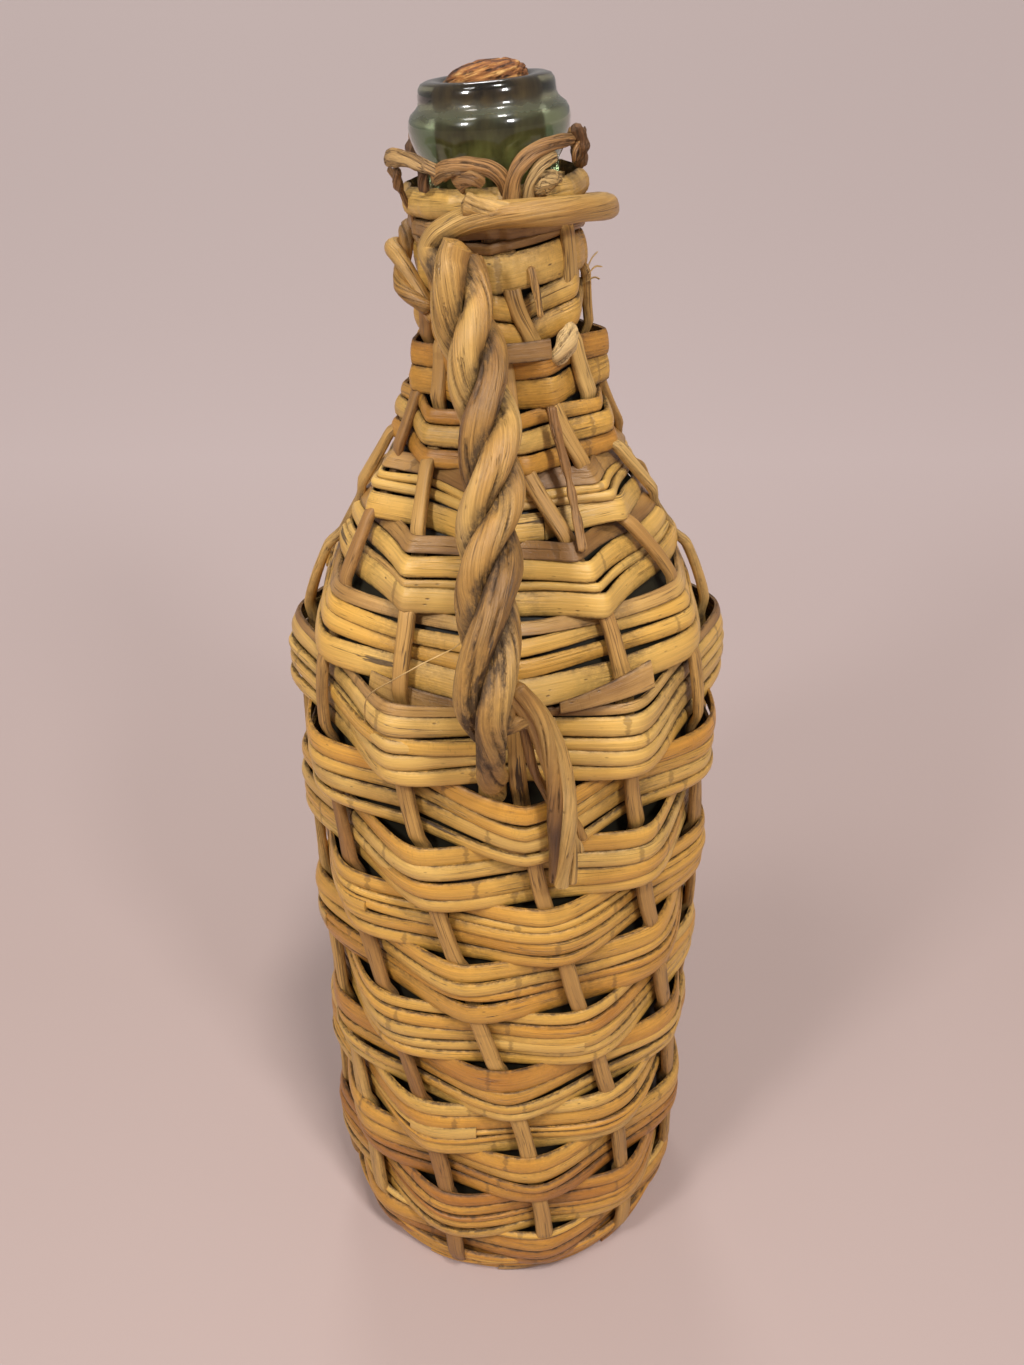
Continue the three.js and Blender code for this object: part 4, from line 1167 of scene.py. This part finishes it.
def handle():
    rng = np.random.default_rng(61)
    core = lean(spline(HANDLE_ROUTE, 2.0)[0])
    bulge = knots((0.5, 0.88), (0.1, 0.25), (0.1, 0.1))
    loop = Shape()
    rope_rod(loop, [*loop_points(1), *lay_points(0, STRANDS_END), *FRAYED_END], loop_radius, rng, loop_tint,
             core, -1.6, depth=loop_depth)
    rope_rod(loop, loop_points(-1, SECOND_ROD_FROM),
             lambda s: TWIST_RADIUS * (1 - 0.5 * smooth(s, 0.85, 0.15)), rng, 0.45, core, -1.5)
    rope_rod(loop, placed(LOOP_STUB), lambda s: 2.6 * bulge(s), rng, 0.6, core, 0.2, ends=(0.4, 0.15))
    loop.place("willow", "handle_strand_loop", "handle", rope_wood)
    tucked = Shape()
    rope_rod(tucked, [*CUT_TOP, *lay_points(1, STRANDS_END), *TUCKED_END],
             lambda s: STRAND_RADIUS * (0.95 + 0.05 * smooth(s / 0.05)), rng, 0.61, core, -2.2,
             ends=(0.15, 0.3))
    tucked.place("willow", "handle_strand_tucked", "handle", rope_wood)
    tail = Shape()
    rope_rod(tail, [*HIDDEN_TOP, *lay_points(2, TAIL_LEAVES), *TAIL],
             lambda s: STRAND_RADIUS * (1 - 0.5 * smooth(s, 0.82, 0.18)), rng, 0.55, core, -2.2,
             ends=(1.1, 0.5))
    route, length = spline(TAIL_ROUTE, 6.0)
    for part in range(TAIL_PARTS):
        angle = TURN * (TAIL_TURNS * length / length[-1] + part / TAIL_PARTS) + 0.5
        apart = stacked(TAIL_SPREAD * np.cos(angle), -TAIL_DEPTH * np.sin(angle), 0)
        split_rod(tail, route + apart, TAIL_PART_RADIUS, rng, 0.42 + 0.16 * part, 1.1)
    for points, radius, wide, tint in TAIL_SPLITS:
        split_rod(tail, points, radius, rng, tint, wide)
    tail.place("willow", "handle_strand_tail", "handle", rope_wood)


bottle()
cork()
for number in range(STAKES):
    stake(number)
for band in range(BANDS):
    weave_band(band)
base_mat()
foot_border()
border_tip("border_rod_01", 121, 0, FOLDED_TIP)
border_tip("border_rod_02", 122, 0, RISING_TIP, splinters=SPLINTERS)
border_tip("border_rod_03", 123, 180, FOLDED_TIP, drawn_in=2.4)
border_tip("border_rod_04", 124, 176, RISING_TIP, splinters=SPLINTERS)
handle()

# Stage: a pale floor that turns paler to the back, three soft suns, two small panels and light all round
FLOOR_COLOUR = (0.463, 0.356, 0.332, 1)
BACK_COLOUR = (0.59, 0.482, 0.474, 1)
FLOOR_SIZE = 40
SKY_COLOUR = (0.80, 0.74, 0.72, 1)
SKY_STRENGTH = 0.36
# Suns: azimuth, elevation, strength, angle across and colour
SUNS = {"key_light": (26, 68, 1.36, 8, (1.0, 0.97, 0.93)),
        "fill_light": (-48, 58, 0.5, 14, (1.0, 0.96, 0.92)),
        "back_light": (188, 48, 0.4, 14, (1.0, 0.96, 0.92))}
# Panels that the glass and the cane glint in: place and power
PANELS = {"front_light": ((0.35, -0.6, 0.85), 3.0), "left_light": ((-0.42, -0.52, 0.8), 2.8)}
PANEL_AIM = Vector((0, 0, 0.32))
PANEL_SIZE = 0.12
CAMERA_PLACE = (0.0015, -0.37376, 0.4796)
CAMERA_PITCH = 58.74 * DEGREE
CAMERA_ROLL = -0.1 * DEGREE
CAMERA_LENS = 31.385


def floor():
    mesh = bpy.data.meshes.new("floor")
    corners = [(FLOOR_SIZE * x, FLOOR_SIZE * y, 0) for x, y in ((-1, -1), (1, -1), (1, 1), (-1, 1))]
    mesh.from_pydata(corners, [], [(0, 1, 2, 3)])
    n = Nodes("pale_floor")
    _, (_, back, _) = n.place()
    shade = n.mix(n.span(back, 0.1, 0.9), FLOOR_COLOUR, BACK_COLOUR)
    mesh.materials.append(n.surface({"Base Color": shade, "Roughness": 0.6}))
    new_object("floor", mesh)


def lights():
    world = bpy.data.worlds.new("pale_world")
    bpy.context.scene.world = world
    world.use_nodes = True
    background = world.node_tree.nodes["Background"]
    background.inputs["Color"].default_value = SKY_COLOUR
    background.inputs["Strength"].default_value = SKY_STRENGTH
    for name, (azimuth, elevation, strength, angle, colour) in SUNS.items():
        data = bpy.data.lights.new(name, "SUN")
        data.energy = strength
        data.angle = angle * DEGREE
        data.color = colour
        new_object(name, data).rotation_euler = ((90 - elevation) * DEGREE, 0, azimuth * DEGREE)
    for name, (place, power) in PANELS.items():
        data = bpy.data.lights.new(name, "AREA")
        data.energy = power
        data.size = PANEL_SIZE
        panel = new_object(name, data)
        panel.location = place
        panel.rotation_euler = (PANEL_AIM - Vector(place)).to_track_quat("-Z", "Y").to_euler()


def camera():
    data = bpy.data.cameras.new("camera")
    data.sensor_width = 36
    data.lens = CAMERA_LENS
    data.clip_start = 0.01
    data.clip_end = 200
    made = new_object("camera", data)
    turned = Matrix.Rotation(CAMERA_PITCH, 4, "X") @ Matrix.Rotation(CAMERA_ROLL, 4, "Z")
    made.matrix_world = Matrix.Translation(CAMERA_PLACE) @ turned
    bpy.context.scene.camera = made


floor()
lights()
camera()
bpy.context.scene.view_settings.view_transform = "Standard"
